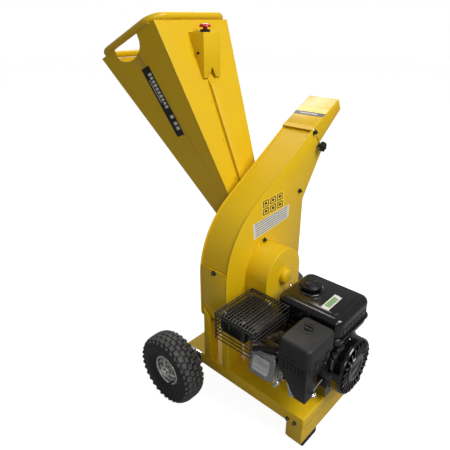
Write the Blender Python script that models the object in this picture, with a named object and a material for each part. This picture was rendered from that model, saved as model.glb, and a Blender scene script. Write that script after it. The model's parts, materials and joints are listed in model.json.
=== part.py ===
"""Petrol wood chipper: tray base on two wheels, disc chipper housing, tilted hopper, chute and engine.

Units are metres, +Z is up. The machine is laid out about two datums: x = 0 is the outer face of the
housing's front plate, which carries the belt guard, and DRIVE_Y is the plane of the crank and rotor axes.
Everything hangs under the empty "machine", which shifts that layout so that the whole object is centred
over the world's origin. Low Y is the near side, high Y the far side, and +X the engine end.
"""
import math

import bmesh
import bpy
from mathutils import Matrix, Vector

# Clearances and sheet
GAP = 0.0004            # air left between neighbouring pieces
SHEET = 0.003           # steel sheet of tray, housing and stand
THIN = 0.002            # steel sheet of hopper, guard and covers
RUNNING = 0.0006        # radial clearance of a turning piece

# Base tray
TRAY_BACK_X = -0.197
TRAY_LENGTH = 0.522
TRAY_NEAR_Y = -0.183
TRAY_WIDTH = 0.426
TRAY_TOP = 0.134
TRAY_DEPTH = 0.045
TRAY_FRONT_X = TRAY_BACK_X + TRAY_LENGTH
TRAY_FAR_Y = TRAY_NEAR_Y + TRAY_WIDTH

# Front stand
STAND_EAR = 0.060       # length of the side ears along X
STAND_CORNER = 0.003    # cut on the ears' lower corners
FOOT_HEIGHT = 0.020
FOOT_LENGTH = 0.082
FOOT_DEPTH = 0.061
FOOT_INSET = 0.013      # from the stand's side to the foot

# Wheels
WHEEL_DIAMETER = 0.256
WHEEL_WIDTH = 0.085
RIM_DIAMETER = 0.120
TYRE_SIDES = 40
RIM_SIDES = 30
AXLE_X = -0.150
SPINDLE_DIAMETER = 0.016
WHEEL_OFFSET = 0.111    # from the tray's side to the middle of the tyre
AXLE_Z = WHEEL_DIAMETER / 2

# Drive line
DRIVE_Y = 0.012
ROTOR_Z = 0.4655
CRANK_Z = 0.246
SHAFT_DIAMETER = 0.025
PULLEY_ROTOR = 0.090
PULLEY_ENGINE = 0.100
PULLEY_X = 0.052        # middle of the belt
BELT_WIDTH = 0.013
BELT_HEIGHT = 0.008

# Housing
HOUSING_WIDTH = 0.120   # outer faces of the two side plates
HOUSING_NEAR_Y = -0.1785
HOUSING_FAR_Y = 0.2322
HOUSING_BOTTOM = 0.290
HOUSING_CORNER = 0.030
SCROLL_RADIUS = 0.285
CHUTE_RISE = math.radians(32.3)
CHUTE_END = (0.263, 0.901)
CHUTE_HEEL_Z = 0.652
CHUTE_LIP = (0.340, 0.817)
PLATE_LIP = 0.004       # how far the side plates stand past the rim
HATCH_BOTTOM = 0.352
HATCH_TOP = 0.509

# Rotor
DISC_DIAMETER = 0.330
DISC_THICKNESS = 0.012
DISC_X = -HOUSING_WIDTH + 0.032
HUB_RADIUS = 0.045
KNIFE_LENGTH = 0.105
KNIFE_STANDOUT = 0.006
PADDLE_COUNT = 4

# Legs
LEG_WIDTH = 0.030
LEG_REAR_X = -HOUSING_WIDTH + 0.0176
LEG_FRONT_X = -0.017
LEG_REAR_DEPTH = 0.040
LEG_FRONT_DEPTH = 0.076
LEG_CREST = 0.342
LEG_SLOPE = 0.026

# Hopper
MOUTH_FRONT = (-0.399, 1.231)
MOUTH_BACK = (-0.713, 1.098)
MOUTH_WIDTH = 0.339
HOPPER_Y = 0.093
THROAT_BOTTOM = 0.481
THROAT_TOP = 0.600
THROAT_WIDTH = 0.112
HOOP_TUBE = 0.025
HOOP_RADIUS = 0.055
HOOP_LIFT = 0.027
HAND_HOLE = 0.150
HAND_HOLE_DEPTH = 0.056
HAND_HOLE_ALONG = 0.180

# Emergency stop and its cover
STOP_Y = 0.0935
STOP_COVER_WIDTH = 0.080
STOP_COVER_TOP = 1.206
STOP_COVER_X = -0.315
STOP_COVER_FOOT = 1.062
STOP_BUTTON = 0.040
STOP_FLANGE = 0.008     # height of the button's base over its cover
STOP_STEM = 0.008       # radius of the button's stem
STOP_TRAVEL = 0.005
CABLE_COVER_WIDTH = 0.038
CABLE_COVER_HEIGHT = 0.012

# Deflector
DEFLECTOR_LENGTH = 0.172
DEFLECTOR_RISE = math.radians(26.8)
DEFLECTOR_SIDE = 0.075

# Belt guard
GUARD_DEPTH = 0.088
GUARD_RADIUS = 0.094
GUARD_BOTTOM = 0.150
BOSS_DIAMETER = 0.052
BOSS_DEPTH = 0.018

# Engine
ENGINE_RAIL = 0.006
RAIL_SPREAD = 0.124
ENGINE_BACK_X = 0.122   # drive-side face of the crankcase
STARTER_X = 0.384       # outer face of the recoil starter
ENGINE_BASE = TRAY_TOP + ENGINE_RAIL
CYLINDER_TILT = math.radians(15)
CYLINDER_X = 0.197
HEAD_HALF = 0.049
CASE_DEPTH = 0.118      # length of the crankcase along X
CASE_WALL = 0.074       # from the crank's axis to the crankcase's near wall
SHROUD_RADIUS = 0.100
SHROUD_RISE = 0.004     # the shroud's round sits this far above the crank's axis
RECOIL_DEPTH = 0.052
TANK_LOW = (0.128, -0.094, 0.366)
TANK_HIGH = (0.362, 0.106, 0.455)
CLEANER_LOW = (0.248, -0.238, 0.384)
CLEANER_HIGH = (0.350, -0.106, 0.438)
CLEANER_CROWN = 0.045   # straight part of the air cleaner's body
LEVER_AT = (0.354, -0.100, 0.304)
CAGE_LOW = (0.036, -0.273, 0.347)
CAGE_HIGH = (0.194, -0.0965, 0.447)
CAGE_WIRE = 0.0016      # radius of the cage's wires

FINISHES = {
    "yellow": ((0.80, 0.53, 0.03), 0.0, 0.35),
    "black_gloss": ((0.012, 0.012, 0.013), 0.0, 0.22),
    "black_plastic": ((0.03, 0.03, 0.031), 0.0, 0.5),
    "rubber": ((0.02, 0.02, 0.02), 0.0, 0.85),
    "zinc": ((0.62, 0.62, 0.60), 1.0, 0.3),
    "steel": ((0.42, 0.42, 0.43), 1.0, 0.4),
    "cast": ((0.42, 0.43, 0.43), 0.8, 0.55),
    "red": ((0.55, 0.02, 0.02), 0.0, 0.35),
}


# ---------------------------------------------------------------- building blocks
def clear_scene():
    """Removes every object, so the model starts from nothing."""
    for item in list(bpy.data.objects):
        bpy.data.objects.remove(item, do_unlink=True)


def finish(name):
    """Returns the Principled material of a named finish, made once."""
    if name in bpy.data.materials:
        return bpy.data.materials[name]
    colour, metallic, roughness = FINISHES[name]
    material = bpy.data.materials.new(name)
    material.use_nodes = True
    shader = material.node_tree.nodes["Principled BSDF"]
    shader.inputs["Base Color"].default_value = (*colour, 1.0)
    shader.inputs["Metallic"].default_value = metallic
    shader.inputs["Roughness"].default_value = roughness
    return material


def place(name, body, finish_name, pivot=(0.0, 0.0, 0.0)):
    """Makes the object of a bmesh drawn in the machine's layout, with its origin at pivot."""
    bmesh.ops.remove_doubles(body, verts=body.verts, dist=1e-6)
    bmesh.ops.recalc_face_normals(body, faces=body.faces)
    bmesh.ops.translate(body, verts=body.verts, vec=-Vector(pivot))
    mesh = bpy.data.meshes.new(name)
    body.to_mesh(mesh)
    body.free()
    mesh.materials.append(finish(finish_name))
    mesh.shade_smooth()
    mesh.set_sharp_from_angle(angle=math.radians(30))
    item = bpy.data.objects.new(name, mesh)
    bpy.context.collection.objects.link(item)
    item.location = pivot
    item.parent = bpy.data.objects["machine"]
    return item


def box(low, high):
    """A bmesh box between two corners."""
    body = bmesh.new()
    size = [b - a for a, b in zip(low, high)]
    middle = [(a + b) / 2 for a, b in zip(low, high)]
    bmesh.ops.create_cube(body, size=1.0, matrix=Matrix.Translation(middle) @ Matrix.Diagonal((*size, 1.0)))
    return body


def spread(axis, across, up, along):
    """Puts a point of an outline seen along an axis into machine coordinates."""
    if axis == "X":
        return (along, across, up)
    if axis == "Y":
        return (across, along, up)
    return (across, up, along)


def prism(outline, axis, start, end):
    """A bmesh with a flat outline carried along an axis."""
    body = bmesh.new()
    verts = [body.verts.new(spread(axis, a, b, start)) for a, b in outline]
    face = body.faces.new(verts)
    sweep = bmesh.ops.extrude_face_region(body, geom=[face])
    moved = [v for v in sweep["geom"] if isinstance(v, bmesh.types.BMVert)]
    bmesh.ops.translate(body, verts=moved, vec=spread(axis, 0.0, 0.0, end - start))
    bmesh.ops.recalc_face_normals(body, faces=body.faces)
    return body


def turned(profile, axis, centre, segments=32):
    """A bmesh with a closed (radius, along) profile turned about an axis through centre."""
    body = bmesh.new()
    verts = [body.verts.new(spread(axis, r, 0.0, h)) for r, h in profile]
    edges = [body.edges.new((verts[i], verts[i - 1])) for i in range(len(verts))
             if profile[i][0] + profile[i - 1][0] > 0.0]
    bmesh.ops.spin(body, geom=verts + edges, angle=math.tau, steps=segments, use_merge=True,
                   axis=spread(axis, 0.0, 0.0, 1.0), cent=(0.0, 0.0, 0.0))
    bmesh.ops.remove_doubles(body, verts=body.verts, dist=1e-6)
    bmesh.ops.translate(body, verts=body.verts, vec=centre)
    bmesh.ops.recalc_face_normals(body, faces=body.faces)
    return body


def rod(axis, centre, radius, start, end, segments=20):
    """A plain round bar along an axis, from start to end as measured from centre."""
    return turned([(0.0, start), (radius, start), (radius, end), (0.0, end)], axis, centre, segments)


def ring(axis, centre, inner, outer, start, end, segments=32):
    """A plain tube along an axis."""
    profile = [(inner, start), (outer, start), (outer, end), (inner, end)]
    return turned(profile, axis, centre, segments)


def arc(centre, radius, first, last, steps):
    """Points of an arc, angles in radians from +across towards +up."""
    return [(centre[0] + radius * math.cos(first + (last - first) * i / steps),
             centre[1] + radius * math.sin(first + (last - first) * i / steps))
            for i in range(steps + 1)]


def rounded(low, high, radius, steps=4):
    """A rectangle outline with round corners."""
    points = []
    for k, (a, b) in enumerate(((high[0], high[1]), (low[0], high[1]), (low[0], low[1]), (high[0], low[1]))):
        side = (1 if a == high[0] else -1, 1 if b == high[1] else -1)
        centre = (a - side[0] * radius, b - side[1] * radius)
        points += arc(centre, radius, k * math.pi / 2, (k + 1) * math.pi / 2, steps)
    return points


def turn(body, angle, axis, centre):
    """Turns a bmesh about an axis through centre."""
    there, back = Matrix.Translation(centre), Matrix.Translation(-Vector(centre))
    matrix = there @ Matrix.Rotation(angle, 4, axis) @ back
    bmesh.ops.transform(body, matrix=matrix, verts=body.verts)
    return body


def boolean(base, tool, operation):
    """Joins, cuts or intersects two bmeshes with the exact solver and returns the result."""
    holders = []
    for body in (base, tool):
        mesh = bpy.data.meshes.new("shape")
        bmesh.ops.recalc_face_normals(body, faces=body.faces)
        body.to_mesh(mesh)
        body.free()
        holder = bpy.data.objects.new("shape", mesh)
        bpy.context.collection.objects.link(holder)
        holders.append(holder)
    step = holders[0].modifiers.new("step", "BOOLEAN")
    step.solver = "EXACT"
    step.operation = operation
    step.object = holders[1]
    graph = bpy.context.evaluated_depsgraph_get()
    mesh = bpy.data.meshes.new_from_object(holders[0].evaluated_get(graph))
    result = bmesh.new()
    result.from_mesh(mesh)
    for holder in holders:
        shape = holder.data
        bpy.data.objects.remove(holder, do_unlink=True)
        bpy.data.meshes.remove(shape)
    bpy.data.meshes.remove(mesh)
    bmesh.ops.remove_doubles(result, verts=result.verts, dist=1e-6)
    bmesh.ops.dissolve_limit(result, angle_limit=math.radians(0.5), verts=result.verts,
                             edges=result.edges)
    return result


def union(first, *others):
    """Welds bmeshes that meet into one closed body."""
    for other in others:
        first = boolean(first, other, "UNION")
    return first


def cut(base, *tools):
    """Cuts tools out of a base."""
    for tool in tools:
        base = boolean(base, tool, "DIFFERENCE")
    return base


def bolt(axis, centre, across=0.013, head=0.006, outward=1.0):
    """A hexagon bolt head that stands on a face at centre, with its washer."""
    h = sorted((0.0, outward * head))
    washer = sorted((0.0, outward * 0.0016))
    hexagon = rod(axis, centre, across / math.sqrt(3), h[0], h[1], segments=6)
    disc = rod(axis, centre, across * 0.72, washer[0], washer[1], segments=16)
    return union(hexagon, disc)


# ---------------------------------------------------------------- base
def tray_shell():
    """The bent tray: a top plate with a skirt on all four sides and two engine rails welded on."""
    outer = box((TRAY_BACK_X, TRAY_NEAR_Y, TRAY_TOP - TRAY_DEPTH), (TRAY_FRONT_X, TRAY_FAR_Y, TRAY_TOP))
    inner = box((TRAY_BACK_X + SHEET, TRAY_NEAR_Y + SHEET, TRAY_TOP - TRAY_DEPTH - 0.01),
                (TRAY_FRONT_X - SHEET, TRAY_FAR_Y - SHEET, TRAY_TOP - SHEET))
    tray = cut(outer, inner)
    for off in (-RAIL_SPREAD / 2, RAIL_SPREAD / 2):
        middle = DRIVE_Y + off
        tray = union(tray, box((ENGINE_BACK_X - 0.006, middle - 0.018, TRAY_TOP - SHEET / 2),
                               (ENGINE_BACK_X + 0.150, middle + 0.018, ENGINE_BASE - GAP)))
    return tray


def stand_shell():
    """The bent stand: a front plate between two side ears, with a bottom flange over the feet."""
    gap = SHEET + GAP
    low = FOOT_HEIGHT + GAP
    high = TRAY_TOP - SHEET - GAP
    near, far = TRAY_NEAR_Y + gap, TRAY_FAR_Y - gap
    front = TRAY_FRONT_X - gap
    back = front - STAND_EAR
    outer = box((back, near, low), (front, far, high))
    inner = box((back - 0.01, near + SHEET, low + SHEET), (front - SHEET, far - SHEET, high + 0.01))
    corner = prism([(back - 0.001, low - 0.001), (back + STAND_CORNER, low - 0.001),
                    (back - 0.001, low + STAND_CORNER)], "Y", near - 0.01, far + 0.01)
    return cut(outer, inner, corner)


def make_base():
    """Tray, front stand and its two rubber feet."""
    place("base_tray", tray_shell(), "yellow")
    place("front_stand", stand_shell(), "yellow")
    foot_x = TRAY_FRONT_X - SHEET - GAP - FOOT_DEPTH
    reach = SHEET + GAP + FOOT_INSET
    for side, start in (("near", TRAY_NEAR_Y + reach), ("far", TRAY_FAR_Y - reach - FOOT_LENGTH)):
        low = (foot_x, start, 0.0)
        high = (foot_x + FOOT_DEPTH, start + FOOT_LENGTH, FOOT_HEIGHT)
        foot = box(low, high)
        edges = [e for e in foot.edges if abs(e.verts[0].co.z - e.verts[1].co.z) > FOOT_HEIGHT / 2]
        bmesh.ops.bevel(foot, geom=edges, offset=0.004, segments=2, affect="EDGES", profile=0.5, material=-1)
        place("rubber_foot_" + side, foot, "rubber")


def tyre_profile(lift):
    """The tyre's closed cross-section as (radius, along) points, lift being the tread's height."""
    r = WHEEL_DIAMETER / 2
    w = WHEEL_WIDTH / 2
    bead = RIM_DIAMETER / 2 - 0.006
    outer = [(bead, -w * 0.62), (bead + 0.007, -w * 0.62), (bead + 0.013, -w * 0.80), (r * 0.72, -w),
             (r * 0.88, -w * 0.94), (r - lift, -w * 0.62), (r, -w * 0.30)]
    inner = [(r - 0.016, w * 0.45), (r * 0.74, w * 0.82), (bead + 0.012, w * 0.62), (bead, w * 0.42)]
    section = outer + [(a, -b) for a, b in reversed(outer)]
    return section + inner + [(a, -b) for a, b in reversed(inner)]


def rim_profile():
    """The pressed rim's closed cross-section with its hub tube."""
    seat = RIM_DIAMETER / 2 - 0.006 - GAP
    w = WHEEL_WIDTH / 2 * 0.62
    hub = SPINDLE_DIAMETER / 2 + 0.010
    bore = SPINDLE_DIAMETER / 2 + RUNNING
    hub_half = WHEEL_WIDTH / 2 * 0.72
    return [(bore, -hub_half), (hub, -hub_half), (hub, -0.004), (seat - 0.012, -0.004),
            (seat - 0.004, -w * 0.86), (seat + 0.006, -w - 0.003), (seat + 0.006, -w - GAP),
            (seat, -w - GAP), (seat, w + GAP), (seat + 0.006, w + GAP), (seat + 0.006, w + 0.003),
            (seat - 0.004, w * 0.86), (seat - 0.012, 0.004), (hub, 0.004), (hub, hub_half), (bore, hub_half)]


def make_wheel(side, inward):
    """One wheel with its stub axle and nut; inward is +1 where the tray lies towards +Y of the wheel."""
    edge = TRAY_NEAR_Y if inward > 0 else TRAY_FAR_Y
    middle = (AXLE_X, edge - inward * WHEEL_OFFSET, AXLE_Z)
    place("tyre_" + side, turned(tyre_profile(0.004), "Y", middle, TYRE_SIDES), "rubber", middle)
    place("rim_" + side, turned(rim_profile(), "Y", middle, RIM_SIDES), "zinc", middle)
    hub_half = WHEEL_WIDTH / 2 * 0.72
    inner_end = sorted((0.0, inward * (WHEEL_OFFSET - GAP - 0.003)))
    spindle = rod("Y", middle, SPINDLE_DIAMETER / 2, -inward * (hub_half + 0.012),
                  inward * (WHEEL_OFFSET - 0.004))
    shoulder_start = inward * (hub_half + 0.001)
    shoulder = rod("Y", middle, SPINDLE_DIAMETER / 2 + 0.005, shoulder_start, inner_end[0] + inner_end[1])
    plate_y = sorted((edge - inward * GAP, edge - inward * (GAP + 0.006)))
    plate = box((AXLE_X - 0.035, plate_y[0], TRAY_TOP - TRAY_DEPTH),
                (AXLE_X + 0.035, plate_y[1], AXLE_Z + SPINDLE_DIAMETER / 2 + 0.001))
    nut_start = -inward * (hub_half + 0.001)
    nut = rod("Y", middle, 0.012, nut_start, nut_start - inward * 0.008, 6)
    place("stub_axle_" + side, union(plate, shoulder, spindle, nut), "steel")


# ---------------------------------------------------------------- legs and housing
def housing_outline(inset):
    """The side plate's outline in Y and Z, moved inwards by inset, counter-clockwise from the low corner."""
    near = HOUSING_NEAR_Y + inset
    far = HOUSING_FAR_Y - inset
    bottom = HOUSING_BOTTOM + inset
    corner = max(HOUSING_CORNER - inset, 0.001)
    radius = SCROLL_RADIUS - inset
    centre = (HOUSING_NEAR_Y + SCROLL_RADIUS, ROTOR_Z)
    turn_to = math.pi / 2 + CHUTE_RISE
    low_rise = math.atan2(CHUTE_LIP[1] - CHUTE_HEEL_Z, CHUTE_LIP[0] - HOUSING_FAR_Y)
    heel_z = CHUTE_HEEL_Z + inset * math.tan((math.pi / 2 - low_rise) / 2)
    lip = (CHUTE_LIP[0] - inset * math.sin(low_rise), CHUTE_LIP[1] + inset * math.cos(low_rise))
    end = (CHUTE_END[0] + inset * math.sin(CHUTE_RISE), CHUTE_END[1] - inset * math.cos(CHUTE_RISE))
    points = arc((near + corner, bottom + corner), corner, math.pi, math.pi * 1.5, 4)
    points += arc((far - corner, bottom + corner), corner, math.pi * 1.5, math.tau, 4)
    points += [(far, heel_z), lip, end]
    points += arc(centre, radius, turn_to, math.pi, 14)
    return points


def rim_body():
    """The bent rim strip between the side plates, open at the chute's mouth."""
    start = -HOUSING_WIDTH + SHEET + GAP
    end = -SHEET - GAP
    outer = prism(housing_outline(PLATE_LIP), "X", start, end)
    inner = prism(housing_outline(PLATE_LIP + SHEET), "X", start - 0.01, end + 0.01)
    ring_body = cut(outer, inner)
    slope = Vector((CHUTE_LIP[0] - CHUTE_END[0], CHUTE_LIP[1] - CHUTE_END[1])).normalized()
    out = Vector((-slope.y, slope.x))
    first = Vector(CHUTE_END) - slope * 0.05 - out * 0.004
    last = Vector(CHUTE_LIP) + slope * 0.05 - out * 0.004
    mouth = [first, last, last + out * 0.03, first + out * 0.03]
    opened = cut(ring_body, prism([tuple(p) for p in mouth], "X", start - 0.01, end + 0.01))
    window = box((start + 0.014, HOUSING_NEAR_Y - 0.01, HATCH_BOTTOM + 0.014),
                 (end - 0.014, HOUSING_NEAR_Y + 0.02, HATCH_TOP - 0.030))
    return cut(opened, window)


def throat_outline(grow):
    """The hopper's throat in the back plate, in Y and Z."""
    half_low = THROAT_WIDTH / 2 + grow
    half_high = throat_top_half() + grow
    return [(HOPPER_Y - half_low, THROAT_BOTTOM - grow), (HOPPER_Y + half_low, THROAT_BOTTOM - grow),
            (HOPPER_Y + half_high, THROAT_TOP + grow), (HOPPER_Y - half_high, THROAT_TOP + grow)]


def throat_top_half():
    """Half the throat's width at its top, which keeps the hopper's sides flat."""
    front = Vector(MOUTH_FRONT)
    along = (Vector(MOUTH_BACK) - front).normalized()
    down = Vector((-along.y, along.x))
    low = (Vector((-HOUSING_WIDTH, THROAT_BOTTOM)) - front).dot(down)
    high = (Vector((-HOUSING_WIDTH, THROAT_TOP)) - front).dot(down)
    share = high / low
    return MOUTH_WIDTH / 2 + (THROAT_WIDTH / 2 - MOUTH_WIDTH / 2) * share


def make_housing():
    """Two side plates, the rim strip and its hatch."""
    back = prism(housing_outline(0.0), "X", -HOUSING_WIDTH, -HOUSING_WIDTH + SHEET)
    back = cut(back, prism(throat_outline(0.0), "X", -HOUSING_WIDTH - 0.01, -HOUSING_WIDTH + 0.02))
    place("housing_back_plate", back, "yellow")
    front = prism(housing_outline(0.0), "X", -SHEET, 0.0)
    front = cut(front, rod("X", (0.0, DRIVE_Y, ROTOR_Z), SHAFT_DIAMETER / 2 + 0.004, -0.02, 0.02, 24))
    place("housing_front_plate", front, "yellow")
    place("housing_rim", rim_body(), "yellow")
    skin = HOUSING_NEAR_Y + PLATE_LIP - GAP
    hatch = box((-HOUSING_WIDTH + SHEET + 2 * GAP, skin - THIN, HATCH_BOTTOM),
                (-SHEET - 2 * GAP, skin, HATCH_TOP))
    place("rim_hatch", hatch, "yellow")


def leg_frame(low_x, depth, crest, slope):
    """A pair of box legs tied by a cross plate under the housing; the near leg's outer wall rises past it."""
    high_x = low_x + LEG_WIDTH
    foot = TRAY_TOP + GAP
    top = HOUSING_BOTTOM - GAP
    near = TRAY_NEAR_Y
    far = max(HOUSING_FAR_Y, near + 2 * depth + 0.02)
    legs = [box((low_x, near, foot), (high_x, near + depth, top)),
            box((low_x, far - depth, foot), (high_x, far, top)),
            box((low_x, near + 0.001, top - 0.030), (high_x, far - 0.001, top))]
    frame = union(*legs)
    for start, end in ((near, near + depth), (far - depth, far)):
        frame = cut(frame, box((low_x + SHEET, start + SHEET, foot - 0.01),
                               (high_x - SHEET, end - SHEET, top - 0.034)))
    if crest <= top:
        return frame
    face = HOUSING_NEAR_Y - GAP
    tongue = prism([(low_x, top - 0.02), (high_x, top - 0.02), (high_x, crest - slope), (low_x, crest)],
                   "Y", near, face)
    return union(frame, tongue)


def make_legs():
    """The rear and front leg frames that carry the housing over the tray."""
    place("rear_leg_frame", leg_frame(LEG_REAR_X, LEG_REAR_DEPTH, LEG_CREST, LEG_SLOPE), "yellow")
    place("front_leg_frame", leg_frame(LEG_FRONT_X, LEG_FRONT_DEPTH, 0.0, 0.0), "yellow")


# ---------------------------------------------------------------- rotor and drive
def make_rotor():
    """Shaft, disc, knives, fan paddles, bearings and the driven pulley."""
    axis = (0.0, DRIVE_Y, ROTOR_Z)
    radius = SHAFT_DIAMETER / 2
    pivot = (DISC_X, DRIVE_Y, ROTOR_Z)
    disc_end = DISC_X + DISC_THICKNESS
    hub = [(0.0, DISC_X), (DISC_DIAMETER / 2, DISC_X), (DISC_DIAMETER / 2, disc_end), (HUB_RADIUS, disc_end),
           (HUB_RADIUS, disc_end + 0.020), (0.0, disc_end + 0.020)]
    place("rotor_disc", turned(hub, "X", axis, 44), "steel", pivot)
    shaft_end = PULLEY_X + BELT_WIDTH + 0.004
    place("rotor_shaft", rod("X", axis, radius, disc_end + 0.020 + GAP, shaft_end, 32), "steel", pivot)
    for k, name in enumerate(("chipper_knife_a", "chipper_knife_b")):
        knife = prism([(DRIVE_Y + 0.048, ROTOR_Z - 0.026), (DRIVE_Y + 0.048 + KNIFE_LENGTH, ROTOR_Z - 0.026),
                       (DRIVE_Y + 0.048 + KNIFE_LENGTH, ROTOR_Z + 0.026), (DRIVE_Y + 0.048, ROTOR_Z + 0.026)],
                      "X", DISC_X - KNIFE_STANDOUT, DISC_X - GAP)
        edge = [e for e in knife.edges if all(v.co.z > ROTOR_Z and v.co.x > DISC_X - 0.002 for v in e.verts)]
        bmesh.ops.bevel(knife, geom=edge, offset=0.004, segments=1, affect="EDGES", profile=0.5, material=-1)
        place(name, turn(knife, math.pi * k + 0.35, "X", axis), "steel", pivot)
    fan_start = disc_end + GAP
    fan = ring("X", axis, HUB_RADIUS + GAP, HUB_RADIUS + 0.014, fan_start, fan_start + 0.008, 32)
    for k in range(PADDLE_COUNT):
        paddle = box((fan_start, DRIVE_Y + HUB_RADIUS + 0.010, ROTOR_Z - 0.003),
                     (-SHEET - 0.010, DRIVE_Y + DISC_DIAMETER / 2 - 0.004, ROTOR_Z + 0.003))
        fan = union(fan, turn(paddle, math.tau * k / PADDLE_COUNT + 0.9, "X", axis))
    place("fan_paddles", fan, "steel", pivot)
    bore = 0.026
    housing = [(radius + 0.004, GAP), (0.058, GAP), (0.058, 0.008), (0.034, 0.008), (0.034, 0.030),
               (bore + GAP, 0.030), (bore + GAP, 0.004), (radius + 0.004, 0.004)]
    place("bearing_housing", turned(housing, "X", axis, 24), "cast")
    bearing = ring("X", axis, radius + RUNNING, bore, 0.006, 0.021, 32)
    place("rotor_bearing", bearing, "steel")
    place("rotor_pulley", pulley(PULLEY_ROTOR / 2, radius + GAP, axis), "cast", pivot)
    bed = box((-HOUSING_WIDTH + SHEET + GAP, HOPPER_Y - THROAT_WIDTH / 2, THROAT_BOTTOM - 0.034),
              (DISC_X - KNIFE_STANDOUT - 0.0015, HOPPER_Y + THROAT_WIDTH / 2, THROAT_BOTTOM - 0.002))
    place("bed_knife", bed, "steel")


def pulley(radius, bore, axis):
    """A V pulley around the middle plane of the belt."""
    half = BELT_WIDTH / 2 + 0.004
    groove = radius - BELT_HEIGHT
    slot = BELT_WIDTH / 2 + GAP
    profile = [(bore, PULLEY_X - half - 0.003), (bore + 0.012, PULLEY_X - half - 0.003),
               (radius + 0.002, PULLEY_X - half), (radius + 0.002, PULLEY_X - slot - 0.001),
               (groove - GAP, PULLEY_X - slot + 0.0012), (groove - GAP, PULLEY_X + slot - 0.0012),
               (radius + 0.002, PULLEY_X + slot + 0.001), (radius + 0.002, PULLEY_X + half),
               (bore, PULLEY_X + half)]
    return turned(profile, "X", axis, 28)


def belt_loop(grow):
    """The belt's outline round both pulleys, in Y and Z."""
    span = ROTOR_Z - CRANK_Z
    upper = PULLEY_ROTOR / 2 + grow
    lower = PULLEY_ENGINE / 2 + grow
    lean = math.asin((lower - upper) / span)
    points = arc((DRIVE_Y, ROTOR_Z), upper, lean, math.pi - lean, 16)
    points += arc((DRIVE_Y, CRANK_Z), lower, math.pi - lean, math.tau + lean, 18)
    return points


def make_drive():
    """The V-belt, the clutch pulley on the crankshaft and the guard over them."""
    half = BELT_WIDTH / 2 - 0.0015
    outer = prism(belt_loop(0.0), "X", PULLEY_X - half, PULLEY_X + half)
    inner = prism(belt_loop(-BELT_HEIGHT + GAP), "X", PULLEY_X - 0.02, PULLEY_X + 0.02)
    place("v_belt", cut(outer, inner), "rubber")
    crank = (0.0, DRIVE_Y, CRANK_Z)
    wheel = pulley(PULLEY_ENGINE / 2, 0.010 + GAP, crank)
    place("clutch_pulley", wheel, "steel", (PULLEY_X, DRIVE_Y, CRANK_Z))
    radius = GUARD_RADIUS
    shape = [(DRIVE_Y - radius, GUARD_BOTTOM), (DRIVE_Y + radius, GUARD_BOTTOM)]
    shape += arc((DRIVE_Y, ROTOR_Z), radius, 0.0, math.pi, 24)
    inside = [(DRIVE_Y - radius + THIN, GUARD_BOTTOM - 0.01), (DRIVE_Y + radius - THIN, GUARD_BOTTOM - 0.01)]
    inside += arc((DRIVE_Y, ROTOR_Z), radius - THIN, 0.0, math.pi, 24)
    start = LEG_FRONT_X + LEG_WIDTH + GAP
    hollow = prism(inside, "X", -0.01, GUARD_DEPTH - THIN)
    drum = cut(prism(shape, "X", GAP, GUARD_DEPTH), hollow)
    relief = box((-0.01, DRIVE_Y - radius - 0.01, GUARD_BOTTOM - 0.01),
                 (start, DRIVE_Y + radius + 0.01, HOUSING_BOTTOM + GAP))
    shaft_hole = rod("X", crank, 0.024, GUARD_DEPTH - 0.01, GUARD_DEPTH + 0.01, 24)
    boss = turned([(0.0, GUARD_DEPTH - 0.001), (BOSS_DIAMETER / 2, GUARD_DEPTH - 0.001),
                   (BOSS_DIAMETER / 2, GUARD_DEPTH + BOSS_DEPTH - 0.004),
                   (BOSS_DIAMETER / 2 - 0.004, GUARD_DEPTH + BOSS_DEPTH), (0.0, GUARD_DEPTH + BOSS_DEPTH)],
                  "X", (0.0, DRIVE_Y, ROTOR_Z), 32)
    place("belt_guard", union(cut(drum, relief, shaft_hole), boss), "yellow")


# ---------------------------------------------------------------- hopper
def hopper_frame():
    """Directions of the hopper's mouth: along it to the back, and down into the funnel."""
    front = Vector((MOUTH_FRONT[0], 0.0, MOUTH_FRONT[1]))
    along = (Vector((MOUTH_BACK[0], 0.0, MOUTH_BACK[1])) - front).normalized()
    down = Vector((-along.z, 0.0, along.x))
    return front, along, down


def hopper_loop(inset, lift):
    """Mouth and throat corners of the funnel, moved in by inset; the mouth is carried up by lift."""
    front, along, down = hopper_frame()
    length = (Vector(MOUTH_BACK) - Vector(MOUTH_FRONT)).length
    half = MOUTH_WIDTH / 2 - inset
    side = Vector((0.0, 1.0, 0.0))
    middle = Vector((0.0, HOPPER_Y, 0.0))
    throat_x = -HOUSING_WIDTH - GAP
    low_half = THROAT_WIDTH / 2 - inset
    high_half = throat_top_half() - inset
    throat = [Vector((throat_x, HOPPER_Y - high_half, THROAT_TOP - inset)),
              Vector((throat_x, HOPPER_Y + high_half, THROAT_TOP - inset)),
              Vector((throat_x, HOPPER_Y + low_half, THROAT_BOTTOM + inset)),
              Vector((throat_x, HOPPER_Y - low_half, THROAT_BOTTOM + inset))]
    mouth = []
    for s, w in ((inset, -half), (inset, half), (length - inset, half), (length - inset, -half)):
        mouth.append(front + along * s + side * w + middle)
    lifted = []
    for top, foot in zip(mouth, throat):
        run = (top - foot).normalized()
        lifted.append(top + run * (lift / abs(run.dot(down))))
    return lifted, throat


def funnel(inset, lift, over):
    """A closed frustum between the mouth and the throat, run past the throat by over."""
    mouth, throat = hopper_loop(inset, lift)
    body = bmesh.new()
    rings = []
    ends = [foot + (foot - top).normalized() * over for top, foot in zip(mouth, throat)] if over else throat
    for loop in (mouth, ends):
        verts = [body.verts.new(point) for point in loop]
        rings.append([body.edges.new((verts[i], verts[(i + 1) % 4])) for i in range(4)])
        body.faces.new(verts)
    bmesh.ops.bridge_loops(body, edges=rings[0] + rings[1])
    bmesh.ops.recalc_face_normals(body, faces=body.faces)
    return body


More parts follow.
